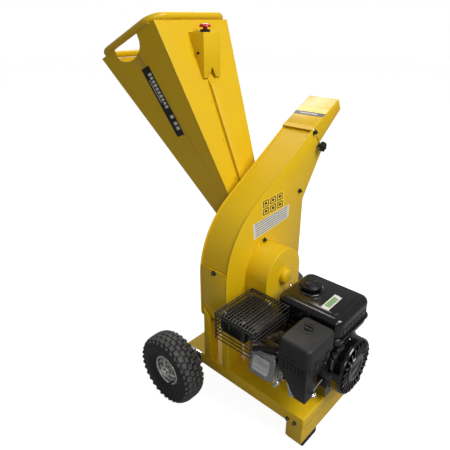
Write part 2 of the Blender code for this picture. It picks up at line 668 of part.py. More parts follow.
def along_mouth(s, y, depth):
    """A point given by its run along the mouth, its Y and its depth into the funnel."""
    front, along, down = hopper_frame()
    point = front + along * s + down * depth
    return Vector((point.x, y, point.z))


def hopper_shell():
    """The folded funnel with its two hand holes."""
    lip = HOOP_LIFT - HOOP_TUBE / 2 - GAP
    shell = cut(funnel(0.0, lip, 0.0), funnel(THIN, lip + 0.02, 0.02))
    steps = 12
    hole = bmesh.new()
    loop = []
    for k in range(steps + 1):
        angle = math.pi * k / steps
        s = HAND_HOLE_ALONG - HAND_HOLE / 2 * math.cos(angle)
        depth = max(HAND_HOLE_DEPTH * math.sin(angle) ** 0.8, -0.006) - 0.006
        loop.append(hole.verts.new(along_mouth(s, HOPPER_Y - MOUTH_WIDTH, depth)))
    loop.append(hole.verts.new(along_mouth(HAND_HOLE_ALONG + HAND_HOLE / 2, HOPPER_Y - MOUTH_WIDTH, -0.03)))
    loop.append(hole.verts.new(along_mouth(HAND_HOLE_ALONG - HAND_HOLE / 2, HOPPER_Y - MOUTH_WIDTH, -0.03)))
    face = hole.faces.new(loop)
    sweep = bmesh.ops.extrude_face_region(hole, geom=[face])
    moved = [v for v in sweep["geom"] if isinstance(v, bmesh.types.BMVert)]
    bmesh.ops.translate(hole, verts=moved, vec=(0.0, 2 * MOUTH_WIDTH, 0.0))
    bmesh.ops.recalc_face_normals(hole, faces=hole.faces)
    return cut(shell, hole)


def hoop_body():
    """The bent tube that runs round the mouth."""
    length = (Vector(MOUTH_BACK) - Vector(MOUTH_FRONT)).length
    half = MOUTH_WIDTH / 2
    path = rounded((0.0, -half), (length, half), HOOP_RADIUS, 6)
    body = bmesh.new()
    sides = 12
    rings = []
    for i, (s, w) in enumerate(path):
        before = Vector(path[i - 1])
        after = Vector(path[(i + 1) % len(path)])
        run = (after - before).normalized()
        outward = Vector((run.y, -run.x))
        verts = []
        for k in range(sides):
            angle = math.tau * k / sides
            off = outward * (math.cos(angle) * HOOP_TUBE / 2)
            verts.append(body.verts.new(along_mouth(s + off.x, HOPPER_Y + w + off.y,
                                                    -HOOP_LIFT - math.sin(angle) * HOOP_TUBE / 2)))
        rings.append(verts)
    for i, ring_verts in enumerate(rings):
        other = rings[i - 1]
        for k in range(sides):
            body.faces.new((ring_verts[k], ring_verts[k - 1], other[k - 1], other[k]))
    bmesh.ops.recalc_face_normals(body, faces=body.faces)
    return body


def face_x(z, standoff=0.0):
    """X of the hopper's front face at a height, plus a standoff square to it."""
    slope = (-HOUSING_WIDTH - MOUTH_FRONT[0]) / (THROAT_TOP - MOUTH_FRONT[1])
    return MOUTH_FRONT[0] + (z - MOUTH_FRONT[1]) * slope + standoff * math.sqrt(1 + slope * slope)


def stop_cover_body():
    """The wedge-shaped cover on the front face that carries the stop button."""
    near = STOP_Y - STOP_COVER_WIDTH / 2
    far = STOP_Y + STOP_COVER_WIDTH / 2
    top, low = STOP_COVER_TOP, STOP_COVER_FOOT
    stand = GAP
    outer = prism([(face_x(top, stand), top), (face_x(low, stand), low), (STOP_COVER_X, low),
                   (STOP_COVER_X, top)], "Y", near, far)
    hollow = prism([(face_x(top, stand) - 0.06, top - THIN), (face_x(low, stand) - 0.06, low - 0.01),
                    (STOP_COVER_X - THIN, low - 0.01), (STOP_COVER_X - THIN, top - THIN)],
                   "Y", near + THIN, far - THIN)
    notch = prism([(STOP_Y - CABLE_COVER_WIDTH / 2 - 0.003, low - 0.01),
                   (STOP_Y + CABLE_COVER_WIDTH / 2 + 0.003, low - 0.01), (STOP_Y, low + 0.034)],
                  "X", STOP_COVER_X - 0.02, STOP_COVER_X + 0.01)
    hole = rod("Z", (stop_x(), STOP_Y, top), 0.011, -0.01, 0.01, 20)
    return cut(outer, hollow, notch, hole)


def stop_x():
    """X of the stop button's axis, over the middle of its cover."""
    return (face_x(STOP_COVER_TOP) + STOP_COVER_X) / 2 + 0.004


def cable_cover_body():
    """The folded channel that runs down the front face from the stop's cover to the housing."""
    high = STOP_COVER_FOOT - 0.004
    low = THROAT_TOP + 0.080
    half = CABLE_COVER_WIDTH / 2
    run = [(face_x(z, off), z) for z, off in ((high, GAP), (low, GAP), (low, CABLE_COVER_HEIGHT),
                                              (high - 0.02, CABLE_COVER_HEIGHT))]
    outer = prism(run, "Y", STOP_Y - half, STOP_Y + half)
    inner_run = [(face_x(z, off), z) for z, off in ((high + 0.01, -0.004), (low - 0.01, -0.004),
                                                    (low - 0.01, CABLE_COVER_HEIGHT - THIN),
                                                    (high - 0.02, CABLE_COVER_HEIGHT - THIN))]
    return cut(outer, prism(inner_run, "Y", STOP_Y - half + THIN, STOP_Y + half - THIN))


def make_hopper():
    """Funnel, hoop, stop-button cover, cable cover and the emergency stop."""
    place("hopper_shell", hopper_shell(), "yellow")
    place("hopper_hoop", hoop_body(), "yellow")
    place("stop_cover", stop_cover_body(), "yellow")
    place("cable_cover", cable_cover_body(), "yellow")
    x, z = stop_x(), STOP_COVER_TOP
    bore = STOP_STEM + 0.0012
    floor = STOP_FLANGE - STOP_TRAVEL - 0.001
    base = [(0.0, -0.030), (0.0105, -0.030), (0.0105, GAP), (0.017, GAP), (0.017, STOP_FLANGE),
            (bore, STOP_FLANGE), (bore, floor), (0.0, floor)]
    place("stop_base", turned(base, "Z", (x, STOP_Y, z), 32), "black_plastic")
    radius = STOP_BUTTON / 2
    under = STOP_FLANGE + STOP_TRAVEL + 0.0015
    cap = [(0.0, STOP_FLANGE + GAP), (STOP_STEM, STOP_FLANGE + GAP), (STOP_STEM, under),
           (radius - 0.002, under), (radius, under + 0.0025), (radius - 0.003, under + 0.0085),
           (radius * 0.55, under + 0.0115), (0.0, under + 0.0125)]
    place("stop_button", turned(cap, "Z", (x, STOP_Y, z), 32), "red", (x, STOP_Y, z))


# ---------------------------------------------------------------- deflector
def deflector_pivot():
    """The deflector's hinge axis, just inside the top of the chute's mouth."""
    return (-HOUSING_WIDTH / 2, CHUTE_END[0] + 0.010, CHUTE_END[1] - 0.012)


def make_deflector():
    """The hinged hood over the chute's mouth with its lock knob."""
    pivot = deflector_pivot()
    run = Vector((math.cos(DEFLECTOR_RISE), math.sin(DEFLECTOR_RISE)))
    drop = Vector((run.y, -run.x))
    start = Vector(CHUTE_END) + Vector((0.002, 0.004))
    tip = start + run * DEFLECTOR_LENGTH
    low_tip = tip + drop * 0.042
    heel = start + run * 0.012 + drop * DEFLECTOR_SIDE
    outline = [tuple(start), tuple(heel), tuple(low_tip), tuple(tip)]
    left = -HOUSING_WIDTH - GAP - THIN
    right = GAP + THIN
    outer = prism(outline, "X", left, right)
    shift = run * 0.05
    inner_outline = [tuple(start - shift + drop * THIN), tuple(heel - shift + drop * 0.06),
                     tuple(low_tip + shift + drop * 0.06), tuple(tip + shift + drop * THIN)]
    hollow = prism(inner_outline, "X", left + THIN, right - THIN)
    place("deflector", cut(outer, hollow), "yellow", pivot)
    for side, face, outward in (("front", right + GAP, 1.0), ("back", left - GAP, -1.0)):
        place("hinge_bolt_" + side, bolt("X", (face, pivot[1], pivot[2]), outward=outward), "steel")
    knob_at = (right + GAP, CHUTE_END[0] + 0.044, CHUTE_END[1] - 0.067)
    stud = [(0.0, GAP), (0.006, GAP), (0.006, 0.008), (0.016, 0.010), (0.018, 0.014), (0.018, 0.022),
            (0.014, 0.026), (0.0, 0.026)]
    place("lock_knob", turned(stud, "X", knob_at, 20), "black_plastic", knob_at)


# ---------------------------------------------------------------- engine
def make_engine_block():
    """Crankcase, tilted cylinder with its head and valve cover, and the crankshaft."""
    y = DRIVE_Y
    back, front = ENGINE_BACK_X, ENGINE_BACK_X + CASE_DEPTH
    low = ENGINE_BASE
    case = prism([(y - 0.088, low), (y + 0.088, low), (y + 0.088, low + 0.018), (y + 0.078, low + 0.030),
                  (y + 0.078, low + 0.150), (y + 0.050, low + 0.178), (y - 0.050, low + 0.178),
                  (y - CASE_WALL, low + 0.150), (y - CASE_WALL, low + 0.030), (y - 0.088, low + 0.018)],
                 "X", back, front)
    bore = rod("X", (0.0, y, CRANK_Z), 0.0125 + RUNNING, back - 0.05, front + 0.05, 24)
    cover = rod("X", (0.0, y, CRANK_Z), 0.062, back - 0.014, back + 0.004, 32)
    place("crankcase", cut(union(case, cover), bore), "cast")
    pivot = (0.0, y, CRANK_Z)
    barrel_parts = []
    for k in range(7):
        start = 0.102 + k * 0.0115
        barrel_parts.append(box((CYLINDER_X - HEAD_HALF, y - start - 0.004, CRANK_Z - 0.046),
                                (CYLINDER_X + HEAD_HALF, y - start, CRANK_Z + 0.046)))
    core = box((CYLINDER_X - 0.034, y - 0.184, CRANK_Z - 0.034),
               (CYLINDER_X + 0.034, y - 0.098, CRANK_Z + 0.034))
    cylinder = turn(union(core, *barrel_parts), -CYLINDER_TILT, "X", pivot)
    place("cylinder", cylinder, "cast")
    head = box((CYLINDER_X - HEAD_HALF, y - 0.222, CRANK_Z - 0.048),
               (CYLINDER_X + HEAD_HALF, y - 0.185, CRANK_Z + 0.046))
    place("cylinder_head", turn(head, -CYLINDER_TILT, "X", pivot), "cast")
    shape = rounded((CYLINDER_X - 0.046, CRANK_Z - 0.044), (CYLINDER_X + 0.046, CRANK_Z + 0.042), 0.016, 3)
    cover = prism(shape, "Y", y - 0.222 - GAP, y - 0.260)
    rim_edges = [e for e in cover.edges if all(v.co.y < y - 0.259 for v in e.verts)]
    bmesh.ops.bevel(cover, geom=rim_edges, offset=0.008, segments=2, affect="EDGES", profile=0.5, material=-1)
    place("valve_cover", turn(cover, -CYLINDER_TILT, "X", pivot), "cast")
    shaft = turned([(0.0, PULLEY_X - 0.012), (0.010, PULLEY_X - 0.012), (0.010, ENGINE_BACK_X - 0.030),
                    (0.0125, ENGINE_BACK_X - 0.030), (0.0125, front + 0.030), (0.0, front + 0.030)],
                   "X", (0.0, y, CRANK_Z), 24)
    place("crankshaft", shaft, "steel", (PULLEY_X, y, CRANK_Z))


def make_blower():
    """Fan shroud, flywheel, recoil starter cover and its grip."""
    y, z = DRIVE_Y, CRANK_Z
    back = ENGINE_BACK_X + CASE_DEPTH + GAP
    shroud_end = STARTER_X - RECOIL_DEPTH
    flywheel = turned([(0.0, back + 0.030 + GAP), (0.078, back + 0.030 + GAP), (0.078, shroud_end - 0.012),
                       (0.0, shroud_end - 0.012)], "X", (0.0, y, z), 40)
    place("flywheel", flywheel, "cast", (PULLEY_X, y, z))
    low = ENGINE_BASE + 0.012
    outline = [(y - 0.090, low), (y + 0.090, low)]
    outline += arc((y, z + SHROUD_RISE), SHROUD_RADIUS, -0.5, math.pi + 0.2, 20)
    inner = arc((y, z + 0.002), 0.088, 0.0, math.tau, 32)[:-1]
    shroud = cut(prism(outline, "X", back, shroud_end), prism(inner, "X", back + 0.004, shroud_end + 0.01))
    opening = rod("X", (0.0, y, z), 0.030, back - 0.01, back + 0.02, 24)
    place("fan_shroud", cut(shroud, opening), "black_gloss")
    profile = [(0.0, STARTER_X - 0.003), (0.038, STARTER_X - 0.003), (0.042, STARTER_X),
               (0.076, STARTER_X - 0.002), (0.090, STARTER_X - 0.014), (0.094, STARTER_X - 0.036),
               (0.096, shroud_end + GAP), (0.086, shroud_end + GAP), (0.086, STARTER_X - 0.030),
               (0.070, STARTER_X - 0.010), (0.0, STARTER_X - 0.010)]
    place("recoil_cover", turned(profile, "X", (0.0, y, z), 36), "black_gloss")
    grip_at = grip_place()
    shape = rounded((grip_at[1] - 0.020, grip_at[2] - 0.009), (grip_at[1] + 0.020, grip_at[2] + 0.009),
                    0.008, 3)
    grip = prism(shape, "X", grip_at[0], grip_at[0] + 0.022)
    place("starter_grip", grip, "black_plastic", grip_at)


def grip_place():
    """Where the starter's grip rests against the blower's side."""
    return (STARTER_X - 0.046, DRIVE_Y - 0.072, CRANK_Z + 0.104)


def make_fuel_system():
    """Fuel tank, its cap, carburettor and air cleaner."""
    low, high = TANK_LOW, TANK_HIGH
    tank = prism(rounded(low[:2], high[:2], 0.030, 4), "Z", low[2], high[2])
    top_edges = [e for e in tank.edges if all(v.co.z > high[2] - 0.001 for v in e.verts)]
    bmesh.ops.bevel(tank, geom=top_edges, offset=0.012, segments=3, affect="EDGES", profile=0.5, material=-1)
    shroud_top = CRANK_Z + SHROUD_RISE + SHROUD_RADIUS
    saddle = box((ENGINE_BACK_X + CASE_DEPTH + 0.010, DRIVE_Y - 0.040, shroud_top + GAP),
                 (STARTER_X - RECOIL_DEPTH - 0.010, DRIVE_Y + 0.040, low[2] + 0.004))
    place("fuel_tank", union(tank, saddle), "black_gloss")
    cap_at = (0.197, 0.008, high[2] + GAP)
    cap = turned([(0.0, 0.0), (0.022, 0.0), (0.022, 0.008), (0.034, 0.008), (0.034, 0.021), (0.030, 0.025),
                  (0.0, 0.026)], "Z", cap_at, 32)
    place("fuel_cap", cap, "black_plastic", cap_at)
    cover_low, cover_high = CLEANER_LOW, CLEANER_HIGH
    cover = prism(rounded(cover_low[:2], cover_high[:2], 0.016, 3), "Z", cover_low[2], cover_high[2])
    top_edges = [e for e in cover.edges if all(v.co.z > cover_high[2] - 0.001 for v in e.verts)]
    bmesh.ops.bevel(cover, geom=top_edges, offset=0.010, segments=3, affect="EDGES", profile=0.5, material=-1)
    place("air_cleaner_cover", cover, "black_plastic")
    top = cover_low[2] - GAP
    neck = top - CLEANER_CROWN
    crown = box((0.252, -0.232, neck), (0.346, -0.112, top))
    side = [(0.252, neck + 0.001), (0.276, 0.288), (0.292, 0.236), (0.328, 0.236), (0.336, 0.288),
            (0.346, neck + 0.001)]
    skirt = prism(side, "Y", -0.232, -0.176)
    place("air_cleaner_body", union(crown, skirt), "black_plastic")
    carb = union(box((0.258, -0.168, 0.292), (0.306, -0.122, neck - GAP)),
                 rod("Z", (0.282, -0.145, 0.0), 0.019, 0.258, 0.300, 20),
                 rod("X", (0.0, -0.164, 0.310), 0.012, CYLINDER_X + HEAD_HALF + GAP, 0.262, 16))
    place("carburettor", carb, "cast")


def bar(start, end, radius, sides=6):
    """A round wire between two points."""
    start, end = Vector(start), Vector(end)
    run = end - start
    body = bmesh.new()
    matrix = Matrix.Translation((start + end) / 2) @ run.to_track_quat("Z", "Y").to_matrix().to_4x4()
    bmesh.ops.create_cone(body, cap_ends=True, segments=sides, radius1=radius, radius2=radius,
                          depth=run.length, matrix=matrix)
    return body


def cage_body():
    """The muffler's wire cage: two end frames and the wires that run between them."""
    low, high, wire = CAGE_LOW, CAGE_HIGH, CAGE_WIRE
    wires = []
    ends = []
    for y in (low[1], high[1]):
        ends.append(box((low[0], y - wire, high[2] - 0.006), (high[0], y + wire, high[2])))
        ends.append(box((low[0], y - wire, low[2]), (low[0] + 0.004, y + wire, high[2])))
        ends.append(box((high[0] - 0.004, y - wire, low[2] + 0.05), (high[0], y + wire, high[2])))
    count = 15
    for k in range(count):
        x = low[0] + 0.002 + (high[0] - low[0] - 0.004) * k / (count - 1)
        wires.append(bar((x, low[1], high[2] - 0.003), (x, high[1], high[2] - 0.003), wire))
    for k in range(1, 9):
        z = high[2] - 0.003 - (high[2] - low[2] - 0.004) * k / 8
        wires.append(bar((low[0] + 0.002, low[1], z), (low[0] + 0.002, high[1], z), wire))
    for k in range(1, 4):
        z = high[2] - 0.003 - 0.0137 * k
        wires.append(bar((high[0] - 0.002, low[1], z), (high[0] - 0.002, high[1], z), wire))
    for k in range(4):
        z = low[2] + 0.002 + 0.013 * k
        wires.append(bar((low[0] + 0.001, low[1], z), (high[0] - 0.010, low[1], z), wire))
    strut = box((high[0] - 0.012, low[1] - wire, low[2]),
                (high[0] - 0.008, low[1] + wire, high[2] - 0.002))
    return union(*ends, strut, *wires)


def make_exhaust():
    """Muffler with its louvred guard, and the wire cage over it."""
    low, high = CAGE_LOW, CAGE_HIGH
    inset = 0.014
    shape = rounded((low[1] + inset, low[2] + 0.020), (high[1] - inset, high[2] - 0.014), 0.018, 3)
    muffler_end = CYLINDER_X - HEAD_HALF - 0.006
    place("muffler", prism(shape, "X", low[0] + 0.014, muffler_end), "black_gloss")
    place("muffler_cage", cage_body(), "black_gloss")


def make_controls():
    """Throttle, choke and fuel levers, stop switch and oil filler plug."""
    x, y, z = LEVER_AT
    throttle = union(box((x - 0.003, y - 0.005, z - 0.004), (x + 0.001, y + 0.005, z + 0.048)),
                     box((x - 0.003, y - 0.009, z + 0.040), (x + 0.008, y + 0.009, z + 0.054)))
    place("throttle_lever", throttle, "steel", LEVER_AT)
    choke = box((0.307, -0.168, 0.310), (0.310, -0.140, 0.318))
    place("choke_lever", choke, "steel", (0.3085, -0.144, 0.314))
    fuel = box((0.307, -0.168, 0.292), (0.310, -0.140, 0.300))
    place("fuel_lever", fuel, "steel", (0.3085, -0.144, 0.296))
    face = STARTER_X - RECOIL_DEPTH + GAP
    bracket = box((face, y - 0.018, 0.246), (face + 0.003, DRIVE_Y - 0.0965, z - 0.020))
    mast = box((face, y - 0.018, 0.262), (face + 0.003, y + 0.006, z + 0.006))
    stub = rod("X", (0.0, y, z), 0.004, face + 0.001, x - 0.003 - GAP, 12)
    holder = union(box((face, -0.146, 0.262), (0.366, y - 0.018, 0.300)), mast, bracket, stub)
    place("switch_box", holder, "black_plastic")
    rocker = box((0.366 + GAP, -0.141, 0.272), (0.371, -0.123, 0.290))
    place("stop_switch", rocker, "red", (0.366, -0.132, 0.281))
    plug_at = (ENGINE_BACK_X + 0.100, DRIVE_Y - CASE_WALL, ENGINE_BASE + 0.048)
    plug = turned([(0.0, -GAP), (0.015, -GAP), (0.015, -0.014), (0.011, -0.018), (0.0, -0.018)], "Y",
                  plug_at, 16)
    place("oil_plug", plug, "black_plastic", plug_at)


def centre_machine(machine):
    """Shifts the layout so that the middle of the whole object's footprint is over the origin."""
    points = []
    for item in machine.children:
        points += [item.location + vert.co for vert in item.data.vertices]
    for axis in range(2):
        reach = [point[axis] for point in points]
        machine.location[axis] = -(min(reach) + max(reach)) / 2


def main():
    """Builds the chipper."""
    clear_scene()
    machine = bpy.data.objects.new("machine", None)
    bpy.context.collection.objects.link(machine)
    make_base()
    make_wheel("near", 1.0)
    make_wheel("far", -1.0)
    make_housing()
    make_legs()
    make_rotor()
    make_drive()
    make_hopper()
    make_deflector()
    make_engine_block()
    make_blower()
    make_fuel_system()
    make_exhaust()
    make_controls()
    centre_machine(machine)


main()
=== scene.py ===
"""Looks for a petrol wood chipper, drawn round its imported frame.

Everything is in metres in the row frame. The machine's own layout counts X from the outer face of the
housing's front plate and Y from the drive's axes less 12 mm, so at() puts a layout point into the row frame.
Low Y is the near side, +X the engine end and -X the feed hopper.
"""
import json
import logging
import math
import random
from dataclasses import dataclass
from enum import Enum
from typing import Callable, Iterable, Optional, Sequence

import bmesh
import bpy
from mathutils import Matrix, Vector

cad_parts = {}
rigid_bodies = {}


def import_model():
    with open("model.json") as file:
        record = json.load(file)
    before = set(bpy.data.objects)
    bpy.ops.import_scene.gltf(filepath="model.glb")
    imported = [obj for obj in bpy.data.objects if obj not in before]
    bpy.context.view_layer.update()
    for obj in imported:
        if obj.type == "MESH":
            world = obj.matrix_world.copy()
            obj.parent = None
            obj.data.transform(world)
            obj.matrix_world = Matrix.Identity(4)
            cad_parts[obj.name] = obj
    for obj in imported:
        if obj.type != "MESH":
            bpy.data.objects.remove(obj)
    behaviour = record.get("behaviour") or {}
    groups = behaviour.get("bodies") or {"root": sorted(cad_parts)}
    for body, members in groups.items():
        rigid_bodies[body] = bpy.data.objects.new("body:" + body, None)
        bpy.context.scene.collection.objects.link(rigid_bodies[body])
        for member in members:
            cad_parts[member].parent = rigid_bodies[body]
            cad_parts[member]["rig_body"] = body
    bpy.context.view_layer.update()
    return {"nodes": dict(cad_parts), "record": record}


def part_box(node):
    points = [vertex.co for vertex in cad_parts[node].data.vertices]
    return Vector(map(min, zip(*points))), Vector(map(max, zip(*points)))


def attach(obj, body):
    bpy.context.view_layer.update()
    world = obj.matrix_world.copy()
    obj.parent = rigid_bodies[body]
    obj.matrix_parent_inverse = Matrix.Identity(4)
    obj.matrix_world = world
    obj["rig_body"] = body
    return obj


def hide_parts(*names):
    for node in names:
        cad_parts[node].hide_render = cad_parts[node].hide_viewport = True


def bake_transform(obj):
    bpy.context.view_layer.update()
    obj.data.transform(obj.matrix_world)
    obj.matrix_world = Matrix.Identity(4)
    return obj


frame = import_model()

LOG = logging.getLogger("chipper")
ORIGIN = Vector((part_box("housing_front_plate")[1].x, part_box("rotor_shaft")[0].y + 0.0125 - 0.012, 0.0))
Colour = tuple[float, float, float]
Edge = bmesh.types.BMEdge


def at(x: float, y: float, z: float) -> Vector:
    """Returns a point of the machine's layout in the row frame."""
    return Vector((x, y, z)) + ORIGIN


class Slot(Enum):
    """The record's material slots."""

    PAINT = "yellow_paint"
    RUBBER = "black_rubber"
    TYRE = "tyre_rubber"
    ZINC = "zinc_plate"
    STEEL = "bare_steel"
    IRON = "cast_iron"
    ALUMINIUM = "cast_aluminium"
    ENAMEL = "black_enamel"
    PLASTIC = "black_plastic"
    RED = "red_plastic"


class Axis(Enum):
    """A direction that a turned or drawn shape points along."""

    X = (0.0, 1.0, 0.0, math.pi / 2)
    Y = (1.0, 0.0, 0.0, -math.pi / 2)
    Z = (0.0, 0.0, 1.0, 0.0)

    def matrix(self) -> Matrix:
        """Returns the turn that carries +Z onto this axis."""
        x, y, z, angle = self.value
        return Matrix.Rotation(angle, 4, Vector((x, y, z)))


# ------------------------------------------------------------------ shader groups
class Shading:
    """Makes the node groups that several finishes share, each once."""

    made: dict[str, bpy.types.NodeTree] = {}

    @staticmethod
    def start(name: str, inputs: Sequence[tuple[str, str, object]],
              outputs: Sequence[tuple[str, str]]) -> bpy.types.NodeTree:
        """Starts a group with named sockets.

        Args:
            name: The group's name.
            inputs: Name, socket type and starting value of each input.
            outputs: Name and socket type of each output.

        Returns:
            The new tree, with its group input and output nodes in place.
        """
        tree = bpy.data.node_groups.new(name, "ShaderNodeTree")
        for label, kind, value in inputs:
            made = tree.interface.new_socket(label, in_out="INPUT", socket_type=kind)
            if value is not None:
                made.default_value = value
        for label, kind in outputs:
            tree.interface.new_socket(label, in_out="OUTPUT", socket_type=kind)
        tree.nodes.new("NodeGroupInput").name = "in"
        tree.nodes.new("NodeGroupOutput").name = "out"
        return tree

    @staticmethod
    def noise(tree: bpy.types.NodeTree, vector: bpy.types.NodeSocket, scale: object, detail: float,
              rough: float = 0.55) -> bpy.types.NodeSocket:
        """Adds a noise texture and returns its factor; scale is a number or a socket."""
        node = tree.nodes.new("ShaderNodeTexNoise")
        node.inputs["Detail"].default_value = detail
        node.inputs["Roughness"].default_value = rough
        tree.links.new(vector, node.inputs["Vector"])
        if isinstance(scale, bpy.types.NodeSocket):
            tree.links.new(scale, node.inputs["Scale"])
        else:
            node.inputs["Scale"].default_value = scale
        return node.outputs["Fac"]

    @staticmethod
    def ramp(tree: bpy.types.NodeTree, value: bpy.types.NodeSocket, low: float, high: float,
             out_low: float = 0.0, out_high: float = 1.0) -> bpy.types.NodeSocket:
        """Adds a clamped map range and returns its result."""
        node = tree.nodes.new("ShaderNodeMapRange")
        tree.links.new(value, node.inputs["Value"])
        for label, number in (("From Min", low), ("From Max", high), ("To Min", out_low),
                              ("To Max", out_high)):
            node.inputs[label].default_value = number
        return node.outputs["Result"]

    @staticmethod
    def maths(tree: bpy.types.NodeTree, operation: str, first: object,
              second: object) -> bpy.types.NodeSocket:
        """Adds a math node; each operand is a number or a socket."""
        node = tree.nodes.new("ShaderNodeMath")
        node.operation = operation
        for slot_number, operand in enumerate((first, second)):
            if isinstance(operand, bpy.types.NodeSocket):
                tree.links.new(operand, node.inputs[slot_number])
            else:
                node.inputs[slot_number].default_value = operand
        return node.outputs[0]

    @staticmethod
    def blend(tree: bpy.types.NodeTree, mask: bpy.types.NodeSocket, first: object,
              second: object) -> bpy.types.NodeSocket:
        """Mixes two colours by a mask; each is a socket or an RGBA tuple."""
        node = tree.nodes.new("ShaderNodeMix")
        node.data_type = "RGBA"
        tree.links.new(mask, node.inputs[0])
        for place, colour in ((6, first), (7, second)):
            if isinstance(colour, bpy.types.NodeSocket):
                tree.links.new(colour, node.inputs[place])
            else:
                node.inputs[place].default_value = colour
        return node.outputs[2]

    @classmethod
    def tone(cls) -> bpy.types.NodeTree:
        """Returns the group that drifts a colour slowly over a surface."""
        if "tone" in cls.made:
            return cls.made["tone"]
        tree = cls.start("tone_drift", [("Vector", "NodeSocketVector", None),
                                        ("Base", "NodeSocketColor", (0.5, 0.5, 0.5, 1.0)),
                                        ("Tone", "NodeSocketColor", (0.4, 0.4, 0.4, 1.0)),
                                        ("Scale", "NodeSocketFloat", 8.0),
                                        ("Amount", "NodeSocketFloat", 0.5)],
                         [("Colour", "NodeSocketColor"), ("Mask", "NodeSocketFloat")])
        source, sink = tree.nodes["in"], tree.nodes["out"]
        wide = cls.noise(tree, source.outputs["Vector"], source.outputs["Scale"], 5.0)
        mask = cls.ramp(tree, wide, 0.36, 0.66)
        share = cls.maths(tree, "MULTIPLY", mask, source.outputs["Amount"])
        colour = cls.blend(tree, share, source.outputs["Base"], source.outputs["Tone"])
        tree.links.new(colour, sink.inputs["Colour"])
        tree.links.new(mask, sink.inputs["Mask"])
        cls.made["tone"] = tree
        return tree

    @classmethod
    def grain(cls) -> bpy.types.NodeTree:
        """Returns the group that gives a fine two-octave grain height."""
        if "grain" in cls.made:
            return cls.made["grain"]
        tree = cls.start("fine_grain",
                         [("Vector", "NodeSocketVector", None), ("Scale", "NodeSocketFloat", 400.0),
                                        ("Coarse", "NodeSocketFloat", 0.3)],
                         [("Height", "NodeSocketFloat")])
        source, sink = tree.nodes["in"], tree.nodes["out"]
        fine = cls.noise(tree, source.outputs["Vector"], source.outputs["Scale"], 2.0)
        wide_scale = cls.maths(tree, "MULTIPLY", source.outputs["Scale"], 0.14)
        wide = cls.noise(tree, source.outputs["Vector"], wide_scale, 2.0)
        wide_part = cls.maths(tree, "MULTIPLY", wide, source.outputs["Coarse"])
        total = cls.maths(tree, "ADD", fine, wide_part)
        tree.links.new(total, sink.inputs["Height"])
        cls.made["grain"] = tree
        return tree

    @classmethod
    def dust(cls) -> bpy.types.NodeTree:
        """Returns the group that settles dust on faces that look up."""
        if "dust" in cls.made:
            return cls.made["dust"]
        tree = cls.start("settled_dust", [("Vector", "NodeSocketVector", None),
                                          ("Colour", "NodeSocketColor", (0.5, 0.5, 0.5, 1.0)),
                                          ("Dust", "NodeSocketColor", (0.5, 0.45, 0.38, 1.0)),
                                          ("Amount", "NodeSocketFloat", 0.1)],
                         [("Colour", "NodeSocketColor"), ("Mask", "NodeSocketFloat")])
        source, sink = tree.nodes["in"], tree.nodes["out"]
        facing = tree.nodes.new("ShaderNodeNewGeometry")
        parts = tree.nodes.new("ShaderNodeSeparateXYZ")
        tree.links.new(facing.outputs["Normal"], parts.inputs[0])
        up = cls.ramp(tree, parts.outputs["Z"], 0.2, 1.0)
        speck = cls.ramp(tree, cls.noise(tree, source.outputs["Vector"], 55.0, 8.0, 0.7), 0.42, 0.75)
        mask = cls.maths(tree, "MULTIPLY", cls.maths(tree, "MULTIPLY", up, speck), source.outputs["Amount"])
        colour = cls.blend(tree, mask, source.outputs["Colour"], source.outputs["Dust"])
        tree.links.new(colour, sink.inputs["Colour"])
        tree.links.new(mask, sink.inputs["Mask"])
        cls.made["dust"] = tree
        return tree

    @classmethod
    def scuff(cls) -> bpy.types.NodeTree:
        """Returns the group that marks sparse short scuffs and chips."""
        if "scuff" in cls.made:
            return cls.made["scuff"]
        tree = cls.start("scuff_marks",
                         [("Vector", "NodeSocketVector", None), ("Scale", "NodeSocketFloat", 30.0),
                                         ("Amount", "NodeSocketFloat", 0.5)],
                         [("Mask", "NodeSocketFloat")])
        source, sink = tree.nodes["in"], tree.nodes["out"]
        stretch = tree.nodes.new("ShaderNodeMapping")
        stretch.inputs["Scale"].default_value = (1.0, 3.0, 0.35)
        stretch.inputs["Rotation"].default_value = (0.3, 0.5, 0.2)
        tree.links.new(source.outputs["Vector"], stretch.inputs["Vector"])
        lines = cls.ramp(tree,
                         cls.noise(tree, stretch.outputs["Vector"], source.outputs["Scale"], 10.0, 0.75),
                         0.66, 0.74)
        where = cls.ramp(tree, cls.noise(tree, source.outputs["Vector"], 6.0, 2.0), 0.48, 0.62)
        mask = cls.maths(tree, "MULTIPLY", cls.maths(tree, "MULTIPLY", lines, where),
                         source.outputs["Amount"])
        tree.links.new(mask, sink.inputs["Mask"])
        cls.made["scuff"] = tree
        return tree


